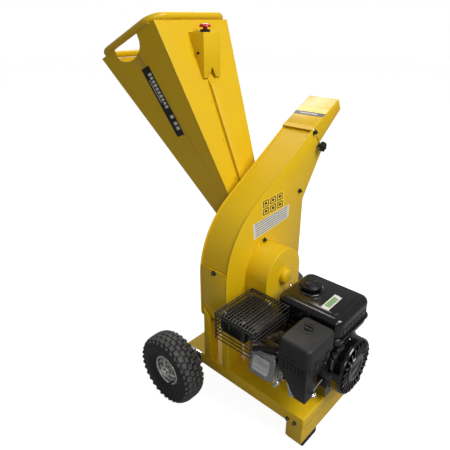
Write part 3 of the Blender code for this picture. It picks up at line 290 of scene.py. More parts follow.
@dataclass(frozen=True)
class Finish:
    """One surface finish and how it varies over a piece.

    Lengths such as grain_height are metres; scales are cycles a metre.
    """

    name: str
    slot: Slot
    colour: Colour
    tone: Colour
    metallic: float = 0.0
    roughness: float = 0.4
    spread: float = 0.06
    drift_scale: float = 7.0
    drift: float = 0.4
    grain_scale: float = 500.0
    grain_height: float = 0.0001
    grain_strength: float = 0.2
    coarse: float = 0.3
    coat: float = 0.0
    coat_roughness: float = 0.1
    dust: float = 0.0
    dust_colour: Colour = (0.42, 0.36, 0.27)
    scuff: float = 0.0
    scuff_scale: float = 34.0
    scuff_colour: Colour = (0.2, 0.13, 0.02)
    specular: float = 0.5

    def group(self, tree: bpy.types.NodeTree, source: bpy.types.NodeTree, vector: bpy.types.NodeSocket,
              **values: object) -> bpy.types.Node:
        """Places a shared group, joined to the piece's coordinates, with its own values."""
        node = tree.nodes.new("ShaderNodeGroup")
        node.node_tree = source
        tree.links.new(vector, node.inputs["Vector"])
        for label, value in values.items():
            node.inputs[label].default_value = value
        return node

    def build(self) -> bpy.types.Material:
        """Returns this finish's material, made at its first use."""
        found = bpy.data.materials.get(self.name)
        if found:
            return found
        material = bpy.data.materials.new(self.name)
        material.use_nodes = True
        material.diffuse_color = (*self.colour, 1.0)
        tree = material.node_tree
        shader = tree.nodes["Principled BSDF"]
        vector = tree.nodes.new("ShaderNodeTexCoord").outputs["Object"]
        tone = self.group(tree, Shading.tone(), vector, Base=(*self.colour, 1.0), Tone=(*self.tone, 1.0),
                          Scale=self.drift_scale, Amount=self.drift)
        colour = tone.outputs["Colour"]
        if self.scuff > 0.0:
            marks = self.group(tree, Shading.scuff(), vector, Scale=self.scuff_scale, Amount=self.scuff)
            colour = Shading.blend(tree, marks.outputs["Mask"], colour, (*self.scuff_colour, 1.0))
        if self.dust > 0.0:
            film = self.group(tree, Shading.dust(), vector, Dust=(*self.dust_colour, 1.0), Amount=self.dust)
            tree.links.new(colour, film.inputs["Colour"])
            colour = film.outputs["Colour"]
        tree.links.new(colour, shader.inputs["Base Color"])
        rough = Shading.ramp(tree, tone.outputs["Mask"], 0.0, 1.0, self.roughness - self.spread,
                             self.roughness + self.spread)
        tree.links.new(rough, shader.inputs["Roughness"])
        grain = self.group(tree, Shading.grain(), vector, Scale=self.grain_scale, Coarse=self.coarse)
        bump = tree.nodes.new("ShaderNodeBump")
        bump.inputs["Strength"].default_value = self.grain_strength
        bump.inputs["Distance"].default_value = self.grain_height
        tree.links.new(grain.outputs["Height"], bump.inputs["Height"])
        tree.links.new(bump.outputs["Normal"], shader.inputs["Normal"])
        shader.inputs["Metallic"].default_value = self.metallic
        shader.inputs["Coat Weight"].default_value = self.coat
        shader.inputs["Coat Roughness"].default_value = self.coat_roughness
        shader.inputs["Specular IOR Level"].default_value = self.specular
        return material


PAINT = Finish("yellow_powder_coat", Slot.PAINT, (0.76, 0.485, 0.006), (0.70, 0.43, 0.004), roughness=0.36,
               spread=0.05, drift=0.5, grain_scale=420.0, grain_height=0.00035, grain_strength=0.22,
               coarse=1.2,
               coat=0.18, coat_roughness=0.14, dust=0.03, scuff=0.18, specular=0.35)
PAINT_WELD = Finish("yellow_weld_bead", Slot.PAINT, (0.74, 0.44, 0.02), (0.55, 0.30, 0.012), roughness=0.42,
                    drift_scale=60.0, grain_scale=350.0, grain_height=0.0012, grain_strength=0.7, coarse=1.5)
ENAMEL = Finish("black_gloss_enamel", Slot.ENAMEL, (0.003, 0.003, 0.0032), (0.006, 0.006, 0.0065),
                roughness=0.13,
                spread=0.04, grain_scale=240.0, grain_height=0.0003, grain_strength=0.12, coat=0.3, dust=0.01,
                coat_roughness=0.06)
HEAT_BLACK = Finish("black_heat_enamel", Slot.ENAMEL, (0.008, 0.008, 0.008), (0.02, 0.017, 0.014),
                    roughness=0.34,
                    spread=0.08, drift_scale=20.0, grain_scale=700.0, grain_height=0.0002, dust=0.05)
# Painted highlight: a lighter plate colour for the rim's rings, standing in for the lamps' glints on its
# lips.
RIM_PAINTED_HIGHLIGHT = Finish("bright_plate", Slot.ZINC, (0.92, 0.92, 0.90), (0.84, 0.84, 0.82), metallic=0.45,
                    roughness=0.16)
WIRE = Finish("black_dipped_wire", Slot.ENAMEL, (0.010, 0.010, 0.010), (0.018, 0.017, 0.016), roughness=0.24,
              grain_scale=500.0, grain_height=0.0002, coat=0.4, specular=0.8)
PLASTIC = Finish("black_moulded_plastic", Slot.PLASTIC, (0.006, 0.006, 0.0062), (0.010, 0.010, 0.0105),
                 roughness=0.40, grain_scale=1500.0, grain_height=0.00014, grain_strength=0.5, dust=0.02,
                 specular=0.4)
PLASTIC_GREY = Finish("charcoal_moulded_plastic", Slot.PLASTIC, (0.018, 0.018, 0.018), (0.024, 0.0235, 0.022),
                      roughness=0.5, grain_scale=1300.0, grain_height=0.0002, grain_strength=0.6, dust=0.03,
                      specular=0.35)
TYRE = Finish("tyre_rubber_black", Slot.TYRE, (0.004, 0.004, 0.0042), (0.008, 0.0078, 0.0075), roughness=0.5,
              drift_scale=24.0, grain_scale=900.0, grain_height=0.0003, grain_strength=0.5, dust=0.05,
              dust_colour=(0.15, 0.14, 0.125))
TREAD = Finish("tyre_tread_rubber", Slot.TYRE, (0.060, 0.060, 0.060), (0.105, 0.102, 0.098), roughness=0.55,
               drift_scale=90.0, drift=0.8, grain_scale=800.0, grain_height=0.0004, grain_strength=0.6,
               dust=0.15,
               dust_colour=(0.17, 0.16, 0.15))
RUBBER = Finish("foot_rubber_black", Slot.RUBBER, (0.012, 0.012, 0.012), (0.02, 0.019, 0.018), roughness=0.7,
                grain_scale=900.0, grain_height=0.0003, grain_strength=0.5)
ZINC = Finish("bright_zinc_plate", Slot.ZINC, (0.88, 0.88, 0.86), (0.70, 0.70, 0.69), metallic=1.0,
              roughness=0.20, spread=0.06, drift_scale=40.0, drift=0.5, grain_scale=300.0,
              grain_height=0.0004,
              grain_strength=0.25)
CHROME = Finish("polished_plate", Slot.ZINC, (0.80, 0.80, 0.80), (0.72, 0.72, 0.73), metallic=1.0,
                roughness=0.12,
                spread=0.03, drift_scale=50.0, grain_scale=200.0, grain_height=0.0001)
STEEL = Finish("machined_steel", Slot.STEEL, (0.42, 0.42, 0.43), (0.33, 0.32, 0.31), metallic=1.0,
               roughness=0.36,
               spread=0.08, drift_scale=30.0, grain_scale=1200.0, grain_height=0.0001)
DARK_STEEL = Finish("blackened_bolt_steel", Slot.STEEL, (0.05, 0.048, 0.045), (0.09, 0.085, 0.08),
                    metallic=0.7,
                    roughness=0.4, drift_scale=120.0, grain_scale=900.0, grain_height=0.0001)
IRON = Finish("grey_cast_iron", Slot.IRON, (0.19, 0.185, 0.18), (0.13, 0.125, 0.12), metallic=0.8,
              roughness=0.55,
              drift_scale=40.0, grain_scale=700.0, grain_height=0.0006, grain_strength=0.5)
CASTING = Finish("blasted_aluminium_casting", Slot.ALUMINIUM, (0.40, 0.42, 0.43), (0.22, 0.235, 0.24),
                 metallic=1.0,
                 roughness=0.30, spread=0.06, drift_scale=45.0, drift=0.6, grain_scale=900.0,
                 grain_height=0.0005,
                 grain_strength=0.45, dust=0.05)
CASTING_DARK = Finish("painted_engine_casting", Slot.ALUMINIUM, (0.012, 0.012, 0.0125), (0.03, 0.03, 0.031),
                      metallic=0.15, roughness=0.42, drift_scale=30.0, grain_scale=800.0, grain_height=0.0005,
                      grain_strength=0.4, dust=0.10)
RED = Finish("red_button_plastic", Slot.RED, (0.50, 0.012, 0.010), (0.42, 0.008, 0.008), roughness=0.28,
             grain_scale=600.0, grain_height=0.0001, coat=0.2)
LABEL_WHITE = Finish("white_vinyl_label", Slot.PAINT, (0.72, 0.70, 0.64), (0.66, 0.64, 0.57), roughness=0.38,
                     grain_scale=300.0, grain_height=0.0001)
LABEL_YELLOW = Finish("yellow_vinyl_label", Slot.PAINT, (0.88, 0.60, 0.03), (0.82, 0.54, 0.02), roughness=0.3,
                      grain_scale=300.0, grain_height=0.0001)
LABEL_BLACK = Finish("black_vinyl_label", Slot.PAINT, (0.008, 0.008, 0.008), (0.014, 0.013, 0.012),
                     roughness=0.36,
                     grain_scale=300.0, grain_height=0.0001)
LABEL_GREEN = Finish("green_vinyl_label", Slot.PAINT, (0.20, 0.34, 0.14), (0.26, 0.40, 0.20), roughness=0.38,
                     grain_scale=300.0, grain_height=0.0001)
INK_GREY = Finish("grey_printed_rule", Slot.PAINT, (0.16, 0.155, 0.14), (0.22, 0.21, 0.19), roughness=0.45,
                  grain_scale=300.0, grain_height=0.0001)


# ------------------------------------------------------------------ shapes
class Shape:
    """A mesh being drawn from bmesh operators; each call adds one closed shell."""

    def __init__(self) -> None:
        """Starts empty."""
        self.bm = bmesh.new()

    def take(self, part: bmesh.types.BMesh) -> "Shape":
        """Adds a part's shell, with its faces turned outwards, and frees it."""
        bmesh.ops.remove_doubles(part, verts=part.verts, dist=1e-6)
        bmesh.ops.recalc_face_normals(part, faces=part.faces)
        mesh = bpy.data.meshes.new("part")
        part.to_mesh(mesh)
        part.free()
        self.bm.from_mesh(mesh)
        bpy.data.meshes.remove(mesh)
        return self

    def box(self, low: Vector, high: Vector, round_by: float = 0.0, segments: int = 2,
            turn: Optional[Matrix] = None) -> "Shape":
        """Adds a box with rounded edges.

        Args:
            low: Lowest corner.
            high: Highest corner.
            round_by: Edge radius.
            segments: Steps across each rounded edge.
            turn: A turn about the box's middle.

        Returns:
            This shape.
        """
        part = bmesh.new()
        middle, size = (Vector(low) + Vector(high)) / 2, Vector(high) - Vector(low)
        bmesh.ops.create_cube(part, size=1.0, matrix=Matrix.Diagonal((*size, 1.0)))
        if round_by > 0.0:
            bmesh.ops.bevel(part, geom=part.edges[:], offset=round_by, segments=segments, affect="EDGES",
                            profile=0.5, material=-1)
        place = Matrix.Translation(middle) @ (turn if turn else Matrix.Identity(4))
        bmesh.ops.transform(part, matrix=place, verts=part.verts)
        return self.take(part)

    def lathe(self, profile: Sequence[tuple[float, float]], centre: Vector, axis: Axis,
              segments: int = 32) -> "Shape":
        """Turns a closed (radius, along) profile about an axis through centre."""
        part = bmesh.new()
        verts = [part.verts.new((radius, 0.0, along)) for radius, along in profile]
        edges = [part.edges.new((verts[i], verts[i - 1])) for i in range(len(verts))
                 if profile[i][0] + profile[i - 1][0] > 0.0]
        bmesh.ops.spin(part, geom=verts + edges, angle=math.tau, steps=segments, use_merge=True,
                       axis=(0.0, 0.0, 1.0), cent=(0.0, 0.0, 0.0))
        bmesh.ops.transform(part, matrix=Matrix.Translation(centre) @ axis.matrix(), verts=part.verts)
        return self.take(part)

    def rod(self, start: Vector, end: Vector, radius: float, sides: int = 12,
            round_by: float = 0.0) -> "Shape":
        """Adds a round bar between two points, its ends rounded by round_by."""
        start, end = Vector(start), Vector(end)
        run = end - start
        part = bmesh.new()
        bmesh.ops.create_cone(part, cap_ends=True, segments=sides, radius1=radius, radius2=radius,
                              depth=run.length)
        if round_by > 0.0:
            rims = [e for e in part.edges if abs(e.verts[0].co.z - e.verts[1].co.z) < 1e-7]
            bmesh.ops.bevel(part, geom=rims, offset=round_by, segments=2, affect="EDGES", profile=0.5,
                            material=-1)
        place = Matrix.Translation((start + end) / 2) @ run.to_track_quat("Z", "Y").to_matrix().to_4x4()
        bmesh.ops.transform(part, matrix=place, verts=part.verts)
        return self.take(part)

    def tube(self, path: Sequence[Vector], radius: float, sides: int = 10, closed: bool = False) -> "Shape":
        """Sweeps a circle along a path by extruding it from point to point."""
        points = [Vector(p) for p in path]
        part = bmesh.new()
        before = self.station(points, 0, closed, None)
        ring = bmesh.ops.create_circle(part, cap_ends=False, segments=sides, radius=radius,
                                       matrix=before)["verts"]
        first = [e for e in part.edges if all(v in ring for v in e.verts)]
        edges = first
        for i in range(1, len(points)):
            here = self.station(points, i, closed, before)
            grown = bmesh.ops.extrude_edge_only(part, edges=edges)["geom"]
            verts = [g for g in grown if isinstance(g, bmesh.types.BMVert)]
            edges = [g for g in grown if isinstance(g, bmesh.types.BMEdge)]
            edges = [e for e in edges if all(v in verts for v in e.verts)]
            bmesh.ops.transform(part, matrix=here @ before.inverted(), verts=verts)
            before = here
        if closed:
            bmesh.ops.bridge_loops(part, edges=first + edges)
        else:
            bmesh.ops.holes_fill(part, edges=first + edges, sides=sides)
        return self.take(part)

    @staticmethod
    def station(points: list[Vector], i: int, closed: bool, before: Optional[Matrix]) -> Matrix:
        """Returns the sweep's frame at a point, carried on from the frame before without twist."""
        count = len(points)
        ahead = points[(i + 1) % count] if closed or i + 1 < count else points[i]
        behind = points[i - 1] if closed or i > 0 else points[i]
        run = (ahead - behind).normalized()
        if before is None:
            turn = run.to_track_quat("Z", "Y").to_matrix().to_4x4()
        else:
            last = before.col[2].to_3d()
            swing = last.rotation_difference(run).to_matrix().to_4x4()
            turn = swing @ before.to_quaternion().to_matrix().to_4x4()
        return Matrix.Translation(points[i]) @ turn

    def prism(self, outline: Sequence[tuple[float, float]], axis: Axis, start: float, end: float,
              round_by: float = 0.0, segments: int = 2) -> "Shape":
        """Carries a flat outline along an axis; the end at end is rounded by round_by.

        The outline's pairs are (y, z) for X, (x, z) for Y and (x, y) for Z, in the row frame.
        """
        spread = {Axis.X: lambda a, b, c: (c, a, b), Axis.Y: lambda a, b, c: (a, c, b),
                  Axis.Z: lambda a, b, c: (a, b, c)}[axis]
        part = bmesh.new()
        face = part.faces.new([part.verts.new(spread(a, b, start)) for a, b in outline])
        grown = bmesh.ops.extrude_face_region(part, geom=[face])["geom"]
        moved = [g for g in grown if isinstance(g, bmesh.types.BMVert)]
        bmesh.ops.translate(part, verts=moved, vec=Vector(spread(0.0, 0.0, end - start)))
        if round_by > 0.0:
            rims = [e for e in part.edges if all(v in moved for v in e.verts)]
            bmesh.ops.bevel(part, geom=rims, offset=round_by, segments=segments, affect="EDGES", profile=0.5,
                            material=-1)
        return self.take(part)

    def patch(self, corners: Sequence[Vector], thickness: float) -> "Shape":
        """Adds a thin plate over flat corners, raised along their own normal."""
        part = bmesh.new()
        face = part.faces.new([part.verts.new(c) for c in corners])
        face.normal_update()
        lift = face.normal * thickness
        grown = bmesh.ops.extrude_face_region(part, geom=[face])["geom"]
        bmesh.ops.translate(part, verts=[g for g in grown if isinstance(g, bmesh.types.BMVert)], vec=lift)
        return self.take(part)

    def bolt(self, face: Vector, axis: Axis, outward: float = 1.0, across: float = 0.013,
             washer: float = 0.0085) -> "Shape":
        """Adds a hexagon head with a chamfer, its washer and a domed thread end, standing on a face."""
        run = Vector({Axis.X: (1.0, 0.0, 0.0), Axis.Y: (0.0, 1.0, 0.0),
                      Axis.Z: (0.0, 0.0, 1.0)}[axis]) * outward
        face = Vector(face)
        self.rod(face, face + run * 0.0016, washer, 18, 0.0003)
        self.rod(face + run * 0.0016, face + run * (0.0016 + across * 0.5), across / math.sqrt(3), 6, 0.0008)
        return self.rod(face + run * 0.004, face + run * (0.0034 + across * 0.62), across * 0.27, 12, 0.0005)

    def spun(self, count: int, centre: Vector, axis: Axis) -> "Shape":
        """Repeats everything drawn so far evenly round an axis."""
        run = {Axis.X: (1.0, 0.0, 0.0), Axis.Y: (0.0, 1.0, 0.0), Axis.Z: (0.0, 0.0, 1.0)}[axis]
        geom = self.bm.verts[:] + self.bm.edges[:] + self.bm.faces[:]
        bmesh.ops.spin(self.bm, geom=geom, cent=centre, axis=run, angle=math.tau * (count - 1) / count,
                       steps=count - 1, use_duplicate=True)
        return self

    def moved(self, matrix: Matrix) -> "Shape":
        """Moves everything drawn so far."""
        bmesh.ops.transform(self.bm, matrix=matrix, verts=self.bm.verts)
        return self

    def piece(self, name: str, finish: Finish, body: str = "machine", replaces: Sequence[str] = (),
              smooth: float = 32.0) -> bpy.types.Object:
        """Finishes the drawing as a dressed object that rides on a body.

        Args:
            name: The piece's name.
            finish: Its finish.
            body: The body it moves with.
            replaces: CAD nodes that it stands for.
            smooth: Edges flatter than this many degrees are shaded smooth.

        Returns:
            The object.
        """
        mesh = bpy.data.meshes.new(name)
        self.bm.to_mesh(mesh)
        self.bm.free()
        mesh.materials.append(finish.build())
        mesh.shade_smooth()
        mesh.set_sharp_from_angle(angle=math.radians(smooth))
        item = bpy.data.objects.new(name, mesh)
        bpy.context.scene.collection.objects.link(item)
        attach(item, body)
        if replaces:
            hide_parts(*replaces)
        return item


def node_body(node: str) -> str:
    """Returns the body a CAD node belongs to."""
    bodies = frame["record"]["behaviour"]["bodies"]
    return next(body for body, members in bodies.items() if node in members)


def refined(node: str, finish: Finish, edge: float = 0.0006, fold: float = 0.0,
            folded: Optional[Callable[[Vector, Vector], bool]] = None, smooth: float = 32.0,
            segments: int = 2) -> bpy.types.Object:
    """Stands a rounded copy of a CAD node in its place.

    Args:
        node: The CAD node.
        finish: Its finish.
        edge: Radius given to every crisp edge.
        fold: Larger radius for the edges that folded picks.
        folded: Tells from an edge's two ends whether it is a fold.
        smooth: Shading angle in degrees.
        segments: Steps across a rounded edge.

    Returns:
        The new object.
    """
    shape = Shape()
    bm = shape.bm
    bm.from_mesh(frame["nodes"][node].data)
    bmesh.ops.remove_doubles(bm, verts=bm.verts, dist=2e-5)
    bmesh.ops.dissolve_limit(bm, angle_limit=math.radians(0.6), verts=bm.verts, edges=bm.edges)
    bmesh.ops.recalc_face_normals(bm, faces=bm.faces)

    def crisp() -> list[Edge]:
        """Lists the edges where two faces meet at a clear angle."""
        return [e for e in bm.edges if len(e.link_faces) == 2 and e.calc_face_angle(0.0) > math.radians(24)]

    if folded and fold > 0.0:
        picked = [e for e in crisp() if folded(e.verts[0].co, e.verts[1].co)]
        bmesh.ops.bevel(bm, geom=picked, offset=fold, segments=3, affect="EDGES", profile=0.5, material=-1,
                        clamp_overlap=True)
    if edge > 0.0:
        bmesh.ops.bevel(bm, geom=crisp(), offset=edge, segments=segments, affect="EDGES", profile=0.5,
                        material=-1,
                        clamp_overlap=True)
    return shape.piece(node + "_finished", finish, node_body(node), [node], smooth)


def filleted(points: Iterable[Vector], radius: float, steps: int = 4) -> list[Vector]:
    """Rounds the inner corners of an open path."""
    path = [Vector(p) for p in points]
    done = [path[0]]
    for before, corner, after in zip(path, path[1:], path[2:]):
        entry = corner + (before - corner).normalized() * radius
        leave = corner + (after - corner).normalized() * radius
        for i in range(steps + 1):
            t = i / steps
            done.append(entry * (1 - t) ** 2 + corner * 2 * t * (1 - t) + leave * t * t)
    done.append(path[-1])
    return done


def rounded(low: tuple[float, float], high: tuple[float, float], radius: float,
            steps: int = 5) -> list[tuple[float, float]]:
    """Returns a rectangle outline with round corners."""
    points = []
    corners = ((high[0], high[1], 1, 1), (low[0], high[1], -1, 1), (low[0], low[1], -1, -1),
               (high[0], low[1], 1, -1))
    for k, (a, b, side_a, side_b) in enumerate(corners):
        for i in range(steps + 1):
            angle = (k + i / steps) * math.pi / 2
            points.append((a - side_a * radius + radius * math.cos(angle),
                           b - side_b * radius + radius * math.sin(angle)))
    return points


# ------------------------------------------------------------------ base and wheels
@dataclass
class TrayBase:
    """The folded tray, its front stand, feet and fixings."""

    fold: float = 0.0035
    bolt_x: tuple[float, float] = (0.268, 0.295)
    bolt_drop: float = 0.034

    def build(self) -> None:
        """Builds every piece of the base."""
        low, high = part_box("base_tray")
        near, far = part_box("base_tray")[0].y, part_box("base_tray")[1].y
        top = at(0.0, 0.0, 0.134).z

        def outer(a: Vector, b: Vector) -> bool:
            """Picks the tray's folded upper edges and corners."""
            on_side = [abs(v.y - near) < 1e-4 or abs(v.y - far) < 1e-4 or abs(v.x - low.x) < 1e-4
                       or abs(v.x - high.x) < 1e-4 for v in (a, b)]
            return all(on_side) and (abs(a.z - top) < 1e-4 and abs(b.z - top) < 1e-4 or abs(a.z - b.z) > 0.03)

        refined("base_tray", PAINT, 0.0006, self.fold, outer)
        stand_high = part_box("front_stand")[1]

        def bend(a: Vector, b: Vector) -> bool:
            """Picks the stand's front folds."""
            return abs(a.x - stand_high.x) < 1e-4 and abs(b.x - stand_high.x) < 1e-4

        refined("front_stand", PAINT, 0.0006, 0.004, bend)
        for foot in ("rubber_foot_near", "rubber_foot_far"):
            refined(foot, RUBBER, 0.0012)
            lip_low, lip_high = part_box(foot)
            ribs = Shape()
            for level in (0.25, 0.5, 0.75):
                z = lip_low.z + (lip_high.z - lip_low.z) * level
                ribs.box(Vector((lip_low.x + 0.004, lip_low.y + 0.004, z - 0.0009)),
                         Vector((lip_high.x + 0.0007, lip_high.y - 0.004, z + 0.0009)), 0.0006)
            ribs.piece(foot + "_ribs", RUBBER)
        bolts = Shape()
        for x in self.bolt_x:
            for side, outward in ((near, -1.0), (far, 1.0)):
                spot = at(x, 0.0, 0.0)
                bolts.bolt(Vector((spot.x, side, top - self.bolt_drop)), Axis.Y, outward, 0.010, 0.0068)
        bolts.piece("stand_bolts", DARK_STEEL)
        self.seams(top)

    def seams(self, top: float) -> None:
        """Lays the weld beads at the legs' feet."""
        beads = Shape()
        for node, depth in (("rear_leg_frame", 0.040), ("front_leg_frame", 0.076)):
            foot_low, foot_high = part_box(node)
            for x in (foot_low.x - 0.0005, foot_high.x + 0.0005):
                path = [Vector((x, foot_low.y + 0.004, top)), Vector((x, foot_low.y + depth, top))]
                beads.tube(self.wavy(path, 0.0007), 0.0022, 8)
        beads.piece("leg_weld_beads", PAINT_WELD)

    @staticmethod
    def wavy(path: Sequence[Vector], height: float, pitch: float = 0.004) -> list[Vector]:
        """Breaks a straight run into a bead's small waves."""
        start, end = path
        count = max(2, int((end - start).length / pitch))
        wave = random.Random(11)
        return [start.lerp(end, i / count) + Vector((0.0, 0.0, height * wave.uniform(-1.0, 1.0)))
                for i in range(count + 1)]


@dataclass
class Wheel:
    """A pneumatic wheel: knobbed tyre, pressed rim, hub and axle nut."""

    side: str
    outward: float
    blocks: int = 32
    crown: float = 0.0135
    tread_depth: float = 0.0045

    def build(self) -> None:
        """Builds the tyre, tread, rim and axle fittings."""
        low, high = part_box("tyre_" + self.side)
        self.centre = (low + high) / 2 + Vector((0.0, self.outward * 0.004, 0.0))
        self.radius = (high.z - low.z) / 2
        self.half = (high.y - low.y) / 2
        self.body = "wheel_" + self.side
        self.tyre()
        self.tread()
        self.rim()
        refined("stub_axle_" + self.side, ZINC, 0.0005)
        cap = Shape()
        end = self.centre + Vector((0.0, self.outward * (self.half * 0.72 + 0.0095), 0.0))
        cap.rod(end, end + Vector((0.0, self.outward * 0.0022, 0.0)), 0.0155, 24, 0.0006)
        cap.piece("axle_washer_" + self.side, ZINC)

    def tyre(self) -> None:
        """Turns the carcass with its sidewall ribs and bead."""
        r, w = self.radius - self.tread_depth, self.half
        bead = 0.0555
        outer = [(bead, 0.62), (bead + 0.004, 0.70), (bead + 0.010, 0.80), (bead + 0.013, 0.83),
                 (bead + 0.0145, 0.815), (r * 0.63, 0.915), (r * 0.68, 0.96), (r * 0.705, 0.975),
                 (r * 0.72, 0.962), (r * 0.77, 0.975)]
        outer += [(self.crowned(b) - self.tread_depth, b) for b in (0.95, 0.88, 0.78, 0.66, 0.50, 0.32, 0.12)]
        section = [(a, -b * w) for a, b in outer] + [(a, b * w) for a, b in reversed(outer)]
        inner = [(r - 0.012, 0.5), (r * 0.74, 0.84), (bead + 0.008, 0.62), (bead, 0.46)]
        section += [(a, b * w) for a, b in inner] + [(a, -b * w) for a, b in reversed(inner)]
        tyre = Shape().lathe(section, self.centre, Axis.Y, 96)
        tyre.piece("tyre_carcass_" + self.side, TYRE, self.body, ["tyre_" + self.side], 40.0)

    def crowned(self, across: float) -> float:
        """Returns the tread's radius at a share of the half width."""
        return self.radius - self.crown * abs(across) ** 3.2

    def slope(self, across: float) -> float:
        """Returns the tread's lean at a share of the half width."""
        return math.copysign(math.atan(3.2 * self.crown * abs(across) ** 2.2 / self.half), across)

    def tread(self) -> None:
        """Sets the staggered blocks round the crown and the lugs on the shoulders."""
        r, w = self.radius, self.half
        rows = ((-0.215, 0.0, 0.165), (0.215, 0.5, 0.165), (-0.61, 0.5, 0.185), (0.61, 0.0, 0.185),
                (-0.90, 0.0, 0.095), (0.90, 0.5, 0.095))
        pitch = math.tau / self.blocks
        blocks = Shape()
        for across, stagger, width in rows:
            skew = 0.26 if across * (0.5 - stagger) > 0 else -0.26
            block = Shape()
            length = r * pitch * (0.74 if abs(across) < 0.8 else 0.46)
            top = self.crowned(across)
            lean = Matrix.Rotation(-self.slope(across), 4, "X") @ Matrix.Rotation(skew, 4, "Z")
            block.box(Vector((-length / 2, across * w - w * width, top - self.tread_depth - 0.003)),
                      Vector((length / 2, across * w + w * width, top)), 0.0012, 1, lean)
            block.moved(Matrix.Rotation(stagger * pitch, 4, "Y"))
            block.spun(self.blocks, Vector((0.0, 0.0, 0.0)), Axis.Y)
            blocks.take(block.bm)
        blocks.moved(Matrix.Translation(self.centre))
        blocks.piece("tyre_tread_" + self.side, TREAD, self.body)

    def rim(self) -> None:
        """Turns the pressed rim, lays bright rings of painted highlight and dark bands of painted shade on
        it, and sets its nuts, valve and hub.
        """
        w, seat = self.half * 0.62, 0.0555 - 0.0006
        out = self.outward
        profile = [(0.0105, -0.030), (0.0185, -0.030), (0.0185, -0.0062), (0.034, -0.0050), (0.039, -0.011),
                   (0.0435, -0.0115), (0.0475, -0.0055), (seat - 0.0045, -w * 0.80),
                   (seat + 0.002, -w - 0.0012),
                   (seat + 0.0062, -w - 0.0028), (seat + 0.0070, -w - 0.0010), (seat + 0.0052, -w + 0.0002),
                   (seat, -w - 0.0002)]
        mirrored = [(a, -b) for a, b in reversed(profile)]
        whole = Shape().lathe(profile + mirrored, self.centre, Axis.Y, 72)
        whole.piece("rim_pressing_" + self.side, ZINC, self.body, ["rim_" + self.side], 38.0)
        # The rings carry a painted highlight: bright plate beside the zinc rim, standing in for the glints on
        # its rolled lips.
        rings = Shape()
        for ring, depth, thick in ((0.0515, -w - 0.0006, 0.0021), (0.0462, -0.0105, 0.0019),
                                   (0.0355, -0.0070, 0.0016)):
            for side in (-1.0, 1.0):
                rings.lathe([(ring + thick * math.cos(a), side * (depth + thick * math.sin(a))) for a in
                             (math.tau * k / 8 for k in range(8))], self.centre, Axis.Y, 64)
        rings.piece("rim_rings_" + self.side, RIM_PAINTED_HIGHLIGHT, self.body, smooth=60.0)
        # Painted shade: thin dark iron bands laid on the rim where its hollows fall in shadow.
        shade = Shape()
        for side in (-1.0, 1.0):
            shade.lathe([(0.0480, side * (w * 0.72)), (0.0500, side * (w * 0.84)),
                         (0.0500, side * (w * 0.84 + 0.0012)),
                         (0.0480, side * (w * 0.72 + 0.0012))], self.centre, Axis.Y, 64)
            shade.lathe([(0.0380, side * 0.0118), (0.0440, side * 0.0120), (0.0440, side * 0.0132),
                         (0.0380, side * 0.0130)], self.centre, Axis.Y, 64)
        shade.piece("rim_recess_" + self.side, IRON, self.body, smooth=60.0)
        nuts = Shape()
        for side in (-1.0, 1.0):
            nuts.bolt(self.centre + Vector((0.0, side * 0.0112, 0.0408)), Axis.Y, side, 0.010, 0.0062)
        nuts.spun(5, self.centre, Axis.Y)
        nuts.piece("rim_nuts_" + self.side, ZINC, self.body)
        valve = Shape()
        foot = self.centre + Vector((0.020, out * 0.020, -0.0460))
        valve.rod(foot, foot + Vector((0.002, out * 0.014, 0.006)), 0.0032, 12, 0.0004)
        valve.rod(foot + Vector((0.002, out * 0.0145, 0.0062)), foot + Vector((0.0034, out * 0.022, 0.0094)),
                  0.0040, 12, 0.0008)
        valve.piece("valve_stem_" + self.side, PLASTIC, self.body)


